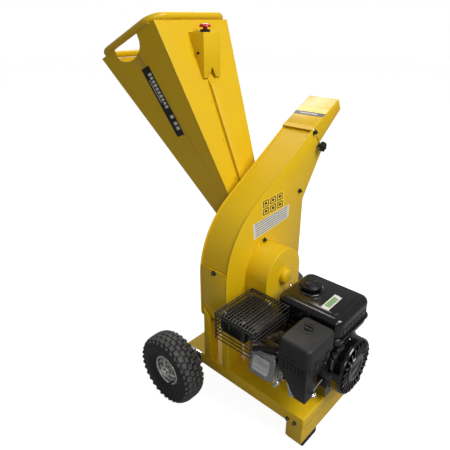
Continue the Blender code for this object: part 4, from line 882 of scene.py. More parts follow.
# ------------------------------------------------------------------ housing and guard
@dataclass
class DiscHousing:
    """The scroll housing with its legs, hatch, bolts and stickers."""

    plate_bolts: tuple[tuple[float, float], ...] = ((0.206, 0.690), (0.036, 0.549))

    def build(self) -> None:
        """Builds the housing's pieces."""
        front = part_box("housing_front_plate")[1].x
        for node in ("housing_back_plate", "housing_front_plate"):
            refined(node, PAINT, 0.0007)
        refined("housing_rim", PAINT, 0.0, smooth=24.0)
        refined("rim_hatch", PAINT, 0.0006)
        for node in ("rear_leg_frame", "front_leg_frame"):
            low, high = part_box(node)

            def bend(a: Vector, b: Vector, low: Vector = low, high: Vector = high) -> bool:
                """Picks a leg's long upright folds."""
                return abs(a.z - b.z) > 0.05 and min(abs(a.x - low.x), abs(a.x - high.x)) < 1e-4

            refined(node, PAINT, 0.0006, 0.003, bend)
        bolts = Shape()
        for y, z in self.plate_bolts:
            spot = at(0.0, y, z)
            bolts.bolt(Vector((front, spot.y, spot.z)), Axis.X, 1.0, 0.0125, 0.0085)
        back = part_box("housing_back_plate")[0].x
        for y, z in self.plate_bolts[:1]:
            spot = at(0.0, y, z)
            bolts.bolt(Vector((back, spot.y, spot.z)), Axis.X, -1.0, 0.0125, 0.0085)
        hatch_low, hatch_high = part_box("rim_hatch")
        middle = (hatch_low.x + hatch_high.x) / 2
        bolts.bolt(Vector((middle + 0.004, hatch_low.y, hatch_high.z - 0.012)), Axis.Y, -1.0, 0.012, 0.009)
        bolts.piece("housing_bolts", DARK_STEEL)
        self.seam(hatch_low, hatch_high)
        self.stickers(front)
        self.weld_lines()

    def seam(self, low: Vector, high: Vector) -> None:
        """Folds the hatch's top and side lips."""
        lips = Shape()
        lips.box(Vector((low.x, low.y - 0.0016, high.z - 0.0016)), Vector((high.x, low.y + 0.0012, high.z)),
                 0.0005)
        lips.box(Vector((low.x, low.y - 0.0012, low.z)), Vector((low.x + 0.0018, low.y + 0.0012, high.z)),
                 0.0005)
        lips.box(Vector((high.x - 0.0018, low.y - 0.0012, low.z)), Vector((high.x, low.y + 0.0012, high.z)),
                 0.0005)
        lips.piece("hatch_lips", PAINT)

    def stickers(self, front: float) -> None:
        """Lays the plain panels that stand in for the plate's stickers."""
        yellow = [(-0.012, 0.715), (0.110, 0.719), (0.117, 0.655), (-0.009, 0.654)]
        white = [(-0.052, 0.644), (0.148, 0.656), (0.147, 0.608), (-0.044, 0.587)]
        for name, corners, finish in (("plate_panel_yellow", yellow, LABEL_YELLOW),
                                      ("plate_panel_white", white, LABEL_WHITE)):
            spots = [at(0.0, y, z) for y, z in reversed(corners)]
            spots = [Vector((front + 0.0001, p.y, p.z)) for p in spots]
            Shape().patch(spots, 0.0003).piece(name, finish)
        self.printed(front, white, [(0.05, 0.95, 0.10 + 0.155 * k, 0.055) for k in range(6)],
                     "plate_panel_rules",
                     INK_GREY)
        cells = []
        for column in range(3):
            for row in range(2):
                left, low = 0.07 + 0.31 * column, 0.10 + 0.46 * row
                cells += [(left, left + 0.24, low, 0.045), (left, left + 0.24, low + 0.33, 0.045),
                          (left, left + 0.03, low, 0.37), (left + 0.21, left + 0.24, low, 0.37),
                          (left + 0.07, left + 0.17, low + 0.13, 0.13)]
        self.printed(front, yellow, cells, "plate_panel_cells", LABEL_BLACK)

    @staticmethod
    def printed(front: float, corners: Sequence[tuple[float, float]],
                bars: Sequence[tuple[float, float, float, float]], name: str, finish: Finish) -> None:
        """Prints plain bars on a panel; a bar is its start, end, foot and height as shares of the panel."""
        top_near, top_far, low_far, low_near = [at(0.0, y, z) for y, z in corners]

        def spot(across: float, up: float) -> Vector:
            """Returns a point of the panel by its shares."""
            point = low_near.lerp(low_far, across).lerp(top_near.lerp(top_far, across), up)
            return Vector((front + 0.0003, point.y, point.z))

        drawn = Shape()
        for start, end, foot, height in bars:
            ring = [spot(start, foot), spot(end, foot), spot(end, foot + height), spot(start, foot + height)]
            drawn.patch(ring, 0.00025)
        drawn.piece(name, finish)

    def weld_lines(self) -> None:
        """Lays short weld beads between the housing and its legs."""
        beads = Shape()
        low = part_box("housing_rim")[0].z
        for node in ("rear_leg_frame", "front_leg_frame"):
            foot_low, foot_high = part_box(node)
            for y in (foot_low.y + 0.03, foot_high.y - 0.04):
                start = Vector((foot_high.x, y, low - 0.004))
                beads.tube(TrayBase.wavy([start, start + Vector((0.0, 0.030, 0.0))], 0.0006), 0.0022, 8)
        beads.piece("housing_weld_beads", PAINT_WELD)


@dataclass
class BeltGuard:
    """The round-topped guard over the belt, with its hub boss and brackets."""

    def build(self) -> None:
        """Builds the guard and what shows round it."""
        low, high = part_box("belt_guard")
        face = at(0.088, 0.0, 0.0).x
        hub = (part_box("rotor_shaft")[0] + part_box("rotor_shaft")[1]) / 2
        radius = (high.y - low.y) / 2
        wall = low.x
        shell = Shape()
        sides = [(hub.y - radius, low.z), (hub.y + radius, low.z)]
        crown = [(hub.y + radius * math.cos(math.pi * i / 48), hub.z + radius * math.sin(math.pi * i / 48))
                 for i in range(49)]
        self.drum(shell, sides + crown, wall, face)
        shell.piece("belt_guard_drum", PAINT, "machine", ["belt_guard"], 30.0)
        boss = Shape().lathe([(0.0, -0.001), (0.026, -0.001), (0.0262, 0.0005), (0.0262, 0.012),
                              (0.0250, 0.0158),
                              (0.0220, 0.018), (0.0, 0.0183)], Vector((face, hub.y, hub.z)), Axis.X, 56)
        boss.piece("guard_boss", PAINT, smooth=42.0)
        joint = Shape()
        joint.box(Vector((wall + 0.0002, low.y - 0.012, at(0, 0, 0.300).z)),
                  Vector((wall + 0.0026, low.y + 0.004,
                  at(0, 0, 0.330).z)), 0.0008)
        top = Vector((wall + 0.0002, hub.y - 0.004, hub.z + radius - 0.002))
        joint.box(top + Vector((0.0, -0.010, -0.002)), top + Vector((0.0022, 0.010, 0.022)), 0.0008)
        joint.piece("guard_brackets", PAINT)
        bolts = Shape()
        bolts.bolt(top + Vector((0.0022, 0.0, 0.013)), Axis.X, 1.0, 0.0115, 0.0078)
        bolts.bolt(Vector((wall + 0.0026, low.y - 0.006, at(0, 0, 0.315).z)), Axis.X, 1.0, 0.0100, 0.0068)
        bolts.piece("guard_bolts", DARK_STEEL)

    @staticmethod
    def drum(shell: Shape, outer: Sequence[tuple[float, float]], wall: float, face: float) -> None:
        """Draws the open-backed drum: wall out to the face, and back inside it."""
        part = bmesh.new()
        skin = part.faces.new([part.verts.new((wall, y, z)) for y, z in outer])
        grown = bmesh.ops.extrude_face_region(part, geom=[skin])["geom"]
        moved = [g for g in grown if isinstance(g, bmesh.types.BMVert)]
        bmesh.ops.translate(part, verts=moved, vec=(face - wall, 0.0, 0.0))
        edges = [e for e in part.edges if all(abs(v.co.x - face) < 1e-6 for v in e.verts)]
        foot = min(v.co.z for v in part.verts)
        edges = [e for e in edges if not all(abs(v.co.z - foot) < 1e-6 for v in e.verts)]
        bmesh.ops.bevel(part, geom=edges, offset=0.003, segments=3, affect="EDGES", profile=0.5, material=-1)
        back = [f for f in part.faces if all(abs(v.co.x - wall) < 1e-6 for v in f.verts)]
        low = [f for f in part.faces if all(abs(v.co.z - foot) < 1e-6 for v in f.verts)]
        bmesh.ops.delete(part, geom=back + low, context="FACES_ONLY")
        bmesh.ops.recalc_face_normals(part, faces=part.faces)
        bmesh.ops.solidify(part, geom=part.faces[:], thickness=0.002)
        shell.take(part)


# ------------------------------------------------------------------ hopper
@dataclass
class Hopper:
    """The folded feed funnel, its hoop, stop button and covers."""

    mouth_front: tuple[float, float] = (-0.399, 1.231)
    mouth_back: tuple[float, float] = (-0.713, 1.098)
    middle: float = 0.093
    half: float = 0.1695
    taper: float = 0.142
    hoop_lift: float = 0.027
    tube: float = 0.025

    def spot(self, along: float, depth: float, side: float = 0.0, out: float = 0.0) -> Vector:
        """Returns a row-frame point of the hopper.

        Args:
            along: Run along the mouth from its front edge.
            depth: Depth into the funnel, square to the mouth.
            side: -1 for the near wall, +1 for the far wall, 0 for the middle.
            out: Distance outwards from the wall.

        Returns:
            The point.
        """
        run = Vector((self.mouth_back[0] - self.mouth_front[0], 0.0,
                      self.mouth_back[1] - self.mouth_front[1]))
        run.normalize()
        down = Vector((-run.z, 0.0, run.x))
        base = Vector((self.mouth_front[0], 0.0, self.mouth_front[1])) + run * along + down * depth
        y = self.middle + side * (self.half - self.taper * depth + out)
        return at(base.x, y, base.z)

    def front_x(self, z: float, off: float = 0.0) -> float:
        """Returns layout X of the front face at a height, off being the distance outwards."""
        slope = (-0.120 + 0.399) / (0.600 - 1.231)
        return -0.399 + (z - 1.231) * slope + off * math.sqrt(1 + slope * slope)

    def build(self) -> None:
        """Builds the hopper's pieces."""
        def fold(a: Vector, b: Vector) -> bool:
            """Picks the funnel's long outer folds."""
            return (a - b).length > 0.4

        refined("hopper_shell", PAINT, 0.0005, 0.0028, fold)
        self.hoop()
        self.side_stripe()
        self.stop()
        self.fixings()

    def hoop(self) -> None:
        """Bends the tube round the mouth and tacks it to the folded edges."""
        length = math.dist(self.mouth_front, self.mouth_back)
        outline = rounded((0.0, -self.half), (length, self.half), 0.055, 10)
        path = []
        for a, w in outline:
            point = self.spot(a, -self.hoop_lift)
            path.append(Vector((point.x, at(0.0, self.middle + w, 0.0).y, point.z)))
        Shape().tube(path, self.tube / 2, 24, closed=True).piece("hopper_hoop_tube", PAINT, "machine",
                                                                  ["hopper_hoop"], 60.0)
        beads = Shape()
        for side in (-1.0, 1.0):
            for start, end in ((0.030, 0.075), (0.275, 0.312)):
                first = self.spot(start, -0.0150, side, -0.001)
                last = self.spot(end, -0.0150, side, -0.001)
                beads.tube(TrayBase.wavy([first, last], 0.0008, 0.005), 0.0030, 8)
        for w in (-0.115, 0.0, 0.115):
            first = self.spot(0.001, -0.0150)
            first.y += w - 0.022
            last = first + Vector((0.0, 0.044, 0.0))
            beads.tube(TrayBase.wavy([first, last], 0.0008, 0.005), 0.0030, 8)
        beads.piece("hoop_weld_beads", PAINT_WELD)

    def side_stripe(self) -> None:
        """Lays a plain black stripe with two rows of blank blocks down the near side."""
        corners = [(0.113, 0.093), (0.157, 0.093), (0.121, 0.348), (0.082, 0.348)]
        ring = [self.spot(s, d, -1.0, 0.0002) for s, d in corners]
        Shape().patch(self.outward(ring), 0.0004).piece("side_stripe", LABEL_BLACK)
        lines = Shape()
        marks = [(0.36, 0.34 if k % 3 else 0.42, 0.09 + 0.052 * k, 0.125 + 0.052 * k) for k in range(10)]
        marks += [(0.36, 0.42, start, start + 0.045) for start in (0.70, 0.80, 0.87)]
        marks += [(0.72, 0.13, 0.17 + 0.026 * k, 0.187 + 0.026 * k) for k in range(13)]
        for across, width, start, end in marks:
            spots = []
            for depth_share, edge in ((start, across - width / 2), (start, across + width / 2),
                                      (end, across + width / 2), (end, across - width / 2)):
                depth = 0.093 + 0.255 * depth_share
                left = 0.113 + (0.082 - 0.113) * depth_share
                right = 0.157 + (0.121 - 0.157) * depth_share
                spots.append(self.spot(left + (right - left) * edge, depth, -1.0, 0.0006))
            lines.patch(self.outward(spots), 0.0002)
        lines.piece("side_stripe_lines", LABEL_WHITE)

    @staticmethod
    def outward(ring: list[Vector]) -> list[Vector]:
        """Orders a ring so that its normal points to the near side."""
        normal = (ring[1] - ring[0]).cross(ring[2] - ring[1])
        return ring if normal.y < 0 else list(reversed(ring))

    def stop(self) -> None:
        """Dresses the stop button, its base and its cover."""
        low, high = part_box("stop_button")
        centre = (low + high) / 2
        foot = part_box("stop_base")[1].z
        button = Shape().lathe([(0.0, 0.0004), (0.008, 0.0004), (0.008, 0.0058), (0.0125, 0.0064),
                                (0.0188, 0.0064),
                                (0.0200, 0.0082), (0.0198, 0.0108), (0.0180, 0.0146), (0.0130, 0.0172),
                                (0.0070, 0.0186), (0.0, 0.0190)], Vector((centre.x, centre.y, foot)), Axis.Z,
                               48)
        button.piece("stop_button_cap", RED, "stop_button", ["stop_button"], 45.0)
        collar = Shape().lathe([(0.0092, 0.0), (0.0172, 0.0), (0.0172, -0.0060), (0.0190, -0.0064),
                                (0.0190, -0.0076), (0.0092, -0.0076)], Vector((centre.x, centre.y, foot)),
                               Axis.Z,
                               40)
        collar.piece("stop_collar", PLASTIC)
        refined("stop_base", PLASTIC, 0.0004)
        refined("stop_cover", PAINT, 0.0012, smooth=30.0)
        refined("cable_cover", PAINT, 0.0010, smooth=30.0)

    def fixings(self) -> None:
        """Adds the screws that hold the covers, and the dimples where they are spot-welded."""
        screws = Shape()
        cover_low, cover_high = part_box("stop_cover")
        z = at(0.0, 0.0, 1.141).z
        x = at(self.front_x(1.141, 0.016), 0.0, 0.0).x
        screws.bolt(Vector((x, cover_low.y, z)), Axis.Y, -1.0, 0.0070, 0.0052)
        screws.bolt(Vector((x, cover_high.y, z)), Axis.Y, 1.0, 0.0070, 0.0052)
        screws.piece("stop_cover_screws", DARK_STEEL)
        studs = Shape()
        for height in (0.985, 0.86, 0.735):
            spot = at(self.front_x(height, 0.0004), self.middle - 0.030, height)
            studs.rod(spot, spot + Vector((0.0022, 0.0, 0.0010)), 0.0036, 14, 0.0007)
        studs.piece("cable_cover_studs", PAINT)


# ------------------------------------------------------------------ deflector
@dataclass
class Deflector:
    """The hinged hood, its bolts, lock knob and plain band."""

    band: tuple[float, float] = (0.061, 0.079)
    field: float = 0.027

    def build(self) -> None:
        """Builds the hood's pieces."""
        def fold(a: Vector, b: Vector) -> bool:
            """Picks the hood's two long folds."""
            return (a - b).length > 0.13 and abs(a.x - b.x) < 1e-4 and min(a.z, b.z) > at(0, 0, 0.895).z

        refined("deflector", PAINT, 0.0005, 0.0022, fold)
        low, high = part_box("deflector")
        rise = math.radians(26.8)
        start = at(0.0, 0.265, 0.905)
        run = Vector((0.0, math.cos(rise), math.sin(rise)))
        up = Vector((0.0, -math.sin(rise), math.cos(rise)))
        ring = []
        for x, run_by in ((low.x + 0.0004, self.band[0]), (high.x - 0.0004, self.band[0] + 0.001),
                          (high.x - 0.0004, self.band[1] + 0.001), (low.x + 0.0004, self.band[1])):
            ring.append(Vector((x, 0.0, 0.0)) + Vector((0.0, start.y, start.z)) + run * run_by + up * 0.0002)
        Shape().patch(ring, 0.0004).piece("hood_band", LABEL_BLACK, "deflector")
        above = [ring[3], ring[2], ring[2] + run * self.field, ring[3] + run * self.field]
        Shape().patch(above, 0.0003).piece("hood_field", LABEL_YELLOW, "deflector")
        blocks = Shape()
        for k in range(9):
            near, far = 0.20 + 0.065 * k, 0.245 + 0.065 * k
            spots = [ring[a].lerp(ring[b], share).lerp(ring[c].lerp(ring[d], share), up_share)
                     for a, b, c, d, share, up_share in ((0, 1, 3, 2, near, 0.35), (0, 1, 3, 2, far, 0.35),
                                                         (0, 1, 3, 2, far, 0.65), (0, 1, 3, 2, near, 0.65))]
            blocks.patch([p + up * 0.0004 for p in spots], 0.0002)
        blocks.piece("hood_band_blocks", LABEL_WHITE, "deflector")
        flap = Shape()
        foot = Vector((0.0, start.y, start.z)) - run * 0.014 - up * 0.0012
        lip = [Vector((low.x + 0.001, foot.y, foot.z)), Vector((high.x - 0.001, foot.y, foot.z))]
        flap.patch(lip + [p + run * 0.019 + up * 0.0016 for p in reversed(lip)], 0.0022)
        flap.piece("hood_flap", PAINT, "deflector")
        for side in ("front", "back"):
            bolt_low, bolt_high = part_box("hinge_bolt_" + side)
            outward = 1.0 if side == "front" else -1.0
            face = Vector((bolt_low.x if side == "front" else bolt_high.x, (bolt_low.y + bolt_high.y) / 2,
                           (bolt_low.z + bolt_high.z) / 2))
            hinge = Shape().bolt(face, Axis.X, outward, 0.0125, 0.0092)
            hinge.piece("hinge_bolt_" + side + "_finished", DARK_STEEL, "machine", ["hinge_bolt_" + side])
        self.knob()

    def knob(self) -> None:
        """Builds the lobed lock knob on its stud."""
        low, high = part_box("lock_knob")
        centre = Vector((low.x, (low.y + high.y) / 2, (low.z + high.z) / 2))
        grip = Shape()
        grip.lathe([(0.0, 0.0), (0.0060, 0.0), (0.0060, 0.0080), (0.0120, 0.0090), (0.0140, 0.0120),
                    (0.0140, 0.0205), (0.0110, 0.0250), (0.0, 0.0256)], centre, Axis.X, 40)
        lobes = Shape()
        tip = centre + Vector((0.0092, 0.0, 0.0128))
        lobes.rod(tip, tip + Vector((0.0135, 0.0, 0.0)), 0.0052, 14, 0.0018)
        lobes.spun(6, centre, Axis.X)
        grip.take(lobes.bm)
        grip.piece("lock_knob_grip", PLASTIC, "lock_knob", ["lock_knob"], 40.0)
        washer = Shape()
        washer.rod(centre + Vector((-0.0001, 0.0, 0.0)), centre + Vector((0.0016, 0.0, 0.0)), 0.0125, 28,
                   0.0004)
        washer.piece("lock_knob_washer", ZINC, "lock_knob")


# ------------------------------------------------------------------ engine
@dataclass
class Engine:
    """The engine's block, cylinder, blower, fuel system, exhaust and controls."""

    tilt: float = math.radians(15)
    cylinder_x: float = 0.197
    wire: float = 0.0019

    def build(self) -> None:
        """Builds every part of the engine."""
        self.crank = at(0.0, 0.012, 0.246)
        for part in (self.block, self.head, self.blower, self.tank, self.air_cleaner, self.carburettor,
                     self.exhaust, self.cage, self.controls):
            part()

    def tilted(self) -> Matrix:
        """Returns the turn of the cylinder about the crank's axis."""
        there, back = Matrix.Translation(self.crank), Matrix.Translation(-self.crank)
        return there @ Matrix.Rotation(-self.tilt, 4, "X") @ back

    def block(self) -> None:
        """Dresses the crankcase and adds its feet, ribs, drain bolts and plug."""
        refined("crankcase", CASTING_DARK, 0.0022, smooth=40.0)
        low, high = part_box("crankcase")
        ribs = Shape()
        for k in range(5):
            x = low.x + 0.020 + 0.022 * k
            ribs.box(Vector((x, low.y + 0.002, low.z + 0.004)),
                     Vector((x + 0.004, low.y + 0.018, low.z + 0.030)),
                     0.0012)
        ribs.piece("crankcase_ribs", CASTING_DARK)
        feet = Shape()
        for x in (low.x + 0.014, low.x + 0.098):
            for y in (low.y - 0.004, high.y - 0.018):
                feet.box(Vector((x - 0.012, y, low.z + 0.0002)),
                         Vector((x + 0.012, y + 0.022, low.z + 0.009)), 0.002)
        feet.piece("crankcase_feet", CASTING_DARK)
        fixings = Shape()
        for x in (low.x + 0.014, low.x + 0.098):
            for y in (low.y + 0.006, high.y - 0.006):
                fixings.bolt(Vector((x, y, low.z + 0.009)), Axis.Z, 1.0, 0.011, 0.0085)
        fixings.bolt(Vector((low.x + 0.056, low.y, low.z + 0.010)), Axis.Y, -1.0, 0.011, 0.0085)
        fixings.bolt(Vector((low.x + 0.080, low.y, low.z + 0.010)), Axis.Y, -1.0, 0.011, 0.0085)
        fixings.piece("crankcase_bolts", CHROME)
        cap_low, cap_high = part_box("oil_plug")
        middle = (cap_low + cap_high) / 2
        cap = Shape()
        cap.lathe([(0.0, 0.0), (0.0150, 0.0), (0.0150, -0.0105), (0.0138, -0.0120), (0.0, -0.0120)],
                  Vector((middle.x, cap_high.y, middle.z)), Axis.Y, 40)
        cap.box(Vector((middle.x - 0.0105, cap_low.y, middle.z - 0.0022)),
                Vector((middle.x + 0.0105, cap_low.y + 0.008, middle.z + 0.0022)), 0.0012)
        cap.piece("oil_plug_cap", PLASTIC, "oil_plug", ["oil_plug"], 40.0)
        grips = Shape()
        grips.box(Vector((middle.x - 0.0012, cap_low.y + 0.0062, middle.z + 0.0136)),
                  Vector((middle.x + 0.0012, cap_high.y - 0.0020, middle.z + 0.0158)), 0.0005, 1)
        grips.spun(16, Vector((middle.x, 0.0, middle.z)), Axis.Y)
        grips.piece("oil_plug_grips", PLASTIC, "oil_plug")
        for node, finish in (("crankshaft", STEEL), ("flywheel", IRON), ("clutch_pulley", STEEL),
                             ("rotor_pulley", IRON), ("rotor_disc", STEEL), ("rotor_shaft", STEEL),
                             ("chipper_knife_a", STEEL), ("chipper_knife_b", STEEL), ("fan_paddles", STEEL),
                             ("bearing_housing", IRON), ("rotor_bearing", STEEL), ("bed_knife", STEEL),
                             ("v_belt", RUBBER)):
            refined(node, finish, 0.0004, smooth=35.0, segments=1)

    def head(self) -> None:
        """Dresses the finned cylinder, head and valve cover, with bolts, plug cap and lead."""
        refined("cylinder", CASTING, 0.0008, segments=1)
        refined("cylinder_head", CASTING, 0.0025)
        refined("valve_cover", CASTING, 0.0012, smooth=40.0)
        fins = Shape()
        for k in range(5):
            z = self.crank.z - 0.044 + 0.0205 * k
            fins.box(Vector((self.crank_x(-0.053), self.crank.y - 0.220, z)),
                     Vector((self.crank_x(0.053), self.crank.y - 0.187, z + 0.0035)), 0.0012)
        fins.moved(self.tilted()).piece("head_fins", CASTING)
        pad = Shape()
        pad.prism([(self.crank_x(a), self.crank.z + b) for a, b in
                   rounded((-0.030, -0.026), (0.030, 0.024), 0.009)], Axis.Y, self.crank.y - 0.2585,
                  self.crank.y - 0.2635, 0.0016)
        for k in range(3):
            z = self.crank.z - 0.016 + 0.014 * k
            pad.box(Vector((self.crank_x(-0.022), self.crank.y - 0.2652, z)),
                    Vector((self.crank_x(0.022), self.crank.y - 0.2625, z + 0.0038)), 0.0012)
        pad.moved(self.tilted()).piece("valve_cover_pad", ZINC)
        lip = Shape()
        lip.prism([(self.crank_x(a), self.crank.z + b) for a, b in
                   rounded((-0.050, -0.047), (0.050, 0.045), 0.017)], Axis.Y, self.crank.y - 0.2225,
                  self.crank.y - 0.2285, 0.0012)
        lip.moved(self.tilted()).piece("valve_cover_flange", CASTING)
        bolts = Shape()
        for a, b in ((-0.041, -0.038), (0.041, -0.038), (-0.041, 0.036), (0.041, 0.036)):
            bolts.bolt(Vector((self.crank_x(a), self.crank.y - 0.2285, self.crank.z + b)), Axis.Y, -1.0,
                       0.009, 0.0072)
        bolts.moved(self.tilted()).piece("valve_cover_bolts", CHROME)
        lug = Shape()
        foot = at(0.232, -0.196, 0.238)
        lug.rod(foot, foot + Vector((0.0, -0.016, 0.003)), 0.0085, 20, 0.0015)
        lug.bolt(foot + Vector((0.0, -0.016, 0.0)), Axis.Y, -1.0, 0.010, 0.0075)
        lug.piece("head_lug", CHROME)
        self.brackets()
        plug = Shape()
        base = at(0.172, -0.214, 0.338)
        tip = base + Vector((-0.008, -0.022, 0.016))
        plug.rod(base + Vector((0.0, 0.006, -0.004)), tip, 0.0085, 20, 0.0022)
        elbow = tip + Vector((0.004, 0.010, 0.0))
        plug.rod(elbow, elbow + Vector((0.026, 0.006, 0.003)), 0.0062, 18, 0.0016)
        plug.piece("spark_plug_cap", PLASTIC, smooth=40.0)
        self.lead(elbow + Vector((0.024, 0.0055, 0.0028)))

    def brackets(self) -> None:
        """Adds the plated bracket beside the valve cover and the strap and bolts under the air cleaner."""
        plate = Shape()
        outline = [at(x, -0.205, z) for x,
                   z in ((0.214, 0.296), (0.246, 0.300), (0.250, 0.262), (0.238, 0.238),
                                                 (0.224, 0.246))]
        plate.patch([Vector(p) for p in outline], 0.003)
        plate.tube(filleted([at(0.216, -0.209, 0.292), at(0.240, -0.210, 0.286), at(0.243, -0.210, 0.262),
                             at(0.230, -0.210, 0.246)], 0.008, 4), 0.0022, 8)
        plate.piece("plated_bracket", CHROME)
        strap = Shape()
        strap.tube(filleted([at(0.262, -0.200, 0.284), at(0.274, -0.203, 0.258), at(0.286, -0.204, 0.234)],
                            0.01, 5),
                   0.0042, 10)
        strap.bolt(at(0.2837, -0.200, 0.2303), Axis.Y, -1.0, 0.013, 0.010)
        strap.bolt(at(0.3125, -0.203, 0.2470), Axis.Y, -1.0, 0.013, 0.010)
        strap.bolt(at(0.3540, -0.192, 0.2690), Axis.Y, -1.0, 0.012, 0.009)
        strap.tube(filleted([at(0.345, -0.192, 0.262), at(0.352, -0.184, 0.290), at(0.360, -0.166, 0.312)],
                            0.01, 5),
                   0.0024, 8)
        strap.piece("cleaner_strap", CHROME)

    def lead(self, start: Vector) -> None:
        """Runs the short stiff lead from the plug's cap back over the head into the blower's shroud."""
        points = filleted([start, start + Vector((0.030, 0.012, 0.004)), at(0.236, -0.150, 0.352),
                           at(0.246, -0.096, 0.316)], 0.018, 6)
        lead = Shape().tube(points, 0.0033, 12).piece("plug_lead", RUBBER, smooth=60.0)

    def crank_x(self, off: float) -> float:
        """Returns the row frame's X at an offset from the cylinder's middle."""
        return at(self.cylinder_x + off, 0.0, 0.0).x

    def blower(self) -> None:
        """Builds the shroud, the slotted recoil cover, its screws, grip and rope."""
        refined("fan_shroud", ENAMEL, 0.0016, smooth=36.0)
        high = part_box("recoil_cover")[1]
        centre = Vector((high.x, self.crank.y, self.crank.z))
        shell = Shape().lathe([(0.0880, -0.0060), (0.0915, -0.0045), (0.0945, -0.0075), (0.0955, -0.0150),
                               (0.0942, -0.0360), (0.0960, -0.0380), (0.0960, -0.0512), (0.0900, -0.0512),
                               (0.0880, -0.0300), (0.0865, -0.0120)], centre, Axis.X, 72)
        shell.piece("recoil_shell", ENAMEL, "machine", ["recoil_cover"], 38.0)
        hub = Shape().lathe([(0.0, -0.0030), (0.0300, -0.0030), (0.0325, -0.0010), (0.0400, 0.0),
                             (0.0470, -0.0015),
                             (0.0490, -0.0050), (0.0490, -0.0110), (0.0, -0.0110)], centre, Axis.X, 56)
        hub.box(centre + Vector((-0.0036, -0.026, -0.0065)), centre + Vector((-0.0012, 0.026, 0.0065)),
                0.0010)
        hub.piece("recoil_hub", ENAMEL, smooth=38.0)
        vanes = Shape()
        vanes.box(centre + Vector((-0.0125, -0.0030, 0.0465)), centre + Vector((-0.0020, 0.0030, 0.0880)),
                  0.0014, 2,
                  Matrix.Rotation(0.10, 4, "Y"))
        vanes.spun(24, centre, Axis.X)
        vanes.piece("recoil_vanes", ENAMEL)
        slats = Shape()
        slats.box(centre + Vector((-0.0330, -0.0034, 0.0880)), centre + Vector((-0.0120, 0.0034, 0.0952)),
                  0.0014, 1)
        slats.spun(28, centre, Axis.X)
        slats.piece("recoil_rim_ribs", ENAMEL)
        screen = Shape().lathe([(0.0, -0.0150), (0.0870, -0.0150), (0.0870, -0.0165), (0.0, -0.0165)], centre,
                               Axis.X, 40)
        screen.piece("recoil_screen", DARK_STEEL)
        screws = Shape()
        screws.bolt(centre + Vector((-0.0385, 0.0, 0.0905)), Axis.X, 1.0, 0.008, 0.006)
        screws.spun(3, centre, Axis.X)
        screws.piece("recoil_screws", CHROME)
        grip_low, grip_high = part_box("starter_grip")
        middle = (grip_low + grip_high) / 2
        grip = Shape()
        grip.box(Vector((grip_low.x + 0.006, grip_low.y, grip_low.z)),
                 Vector((grip_high.x, grip_high.y, grip_high.z)),
                 0.0065, 4)
        grip.rod(Vector((grip_low.x, middle.y, middle.z)), Vector((grip_low.x + 0.010, middle.y, middle.z)),
                 0.0062,
                 18, 0.0012)
        grip.piece("starter_grip_bar", PLASTIC, "starter_grip", ["starter_grip"], 40.0)
        stay = Shape()
        eye = Vector((grip_low.x - 0.0055, middle.y, middle.z))
        stay.lathe([(0.0026, -0.004), (0.0070, -0.004), (0.0085, 0.0), (0.0070, 0.004), (0.0026, 0.004)], eye,
                   Axis.X, 28)
        out = (eye - Vector((eye.x, centre.y, centre.z))).normalized()
        root = Vector((eye.x, centre.y, centre.z)) + out * 0.0900
        stay.rod(root, eye - out * 0.0075, 0.0055, 12, 0.001)
        stay.piece("rope_guide", ENAMEL)
        rope = Shape().tube([eye + Vector((-0.003, 0.0, 0.0)), eye + Vector((0.0005, 0.0, 0.0)),
                             eye + Vector((0.0080, 0.0, 0.0))], 0.0019, 8)
        mesh = rope.piece("starter_rope", RUBBER, "machine")
        mesh.parent = None
        del mesh["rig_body"]
        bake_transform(mesh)

    def tank(self) -> None:
        """Builds the fuel tank with its seam flange, raised lines, panels and ribbed cap."""
        low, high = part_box("fuel_tank")
        low = Vector((low.x, low.y, at(0.0, 0.0, 0.366).z))
        high = high + Vector((0.0, 0.0, 0.0060))
        body = Shape()

        def outline(inset: float, radius: float) -> list[tuple[float, float]]:
            """Returns the tank's plan outline moved inwards."""
            return rounded((low.x + inset, low.y + inset), (high.x - inset, high.y - inset), radius, 8)

        seam = low.z + 0.030
        body.prism(outline(0.003, 0.030), Axis.Z, seam, low.z, 0.010, 3)
        body.prism(outline(0.003, 0.030), Axis.Z, seam - 0.0002, high.z - 0.0005, 0.017, 5)
        body.piece("fuel_tank_shell", ENAMEL, "machine", ["fuel_tank"], 40.0)
        flange = Shape().prism(outline(-0.0035, 0.034), Axis.Z, seam - 0.0016, seam + 0.0016, 0.0008)
        flange.piece("fuel_tank_flange", ENAMEL)
        lines = Shape()
        top = high.z - 0.0005
        lines.prism(outline(0.030, 0.022), Axis.Z, top - 0.001, top + 0.0022, 0.0020, 3)
        lines.piece("fuel_tank_crown", ENAMEL, smooth=40.0)
        cap_low, cap_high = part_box("fuel_cap")
        neck = Vector(((cap_low.x + cap_high.x) / 2, (cap_low.y + cap_high.y) / 2, cap_low.z + 0.0060))
        ring = Shape().lathe([(0.0340, -0.001), (0.0460, -0.001), (0.0450, 0.0030), (0.0420, 0.0046),
                              (0.0375, 0.0044), (0.0350, 0.0028)], neck, Axis.Z, 64)
        ring.piece("filler_ring", ENAMEL, smooth=50.0)
        cap = Shape().lathe([(0.0, 0.0004), (0.0215, 0.0004), (0.0215, 0.0080), (0.0315, 0.0080),
                             (0.0322, 0.0095),
                             (0.0322, 0.0160), (0.0300, 0.0185), (0.0265, 0.0190), (0.0250, 0.0205),
                             (0.0240, 0.0240), (0.0215, 0.0256), (0.0, 0.0258)], neck, Axis.Z, 64)
        cap.piece("fuel_cap_body", PLASTIC, "fuel_cap", ["fuel_cap"], 38.0)
        ribs = Shape()
        ribs.box(neck + Vector((0.0312, -0.0018, 0.0088)), neck + Vector((0.0340, 0.0018, 0.0172)), 0.0008, 1)
        ribs.spun(30, neck, Axis.Z)
        top_ribs = Shape()
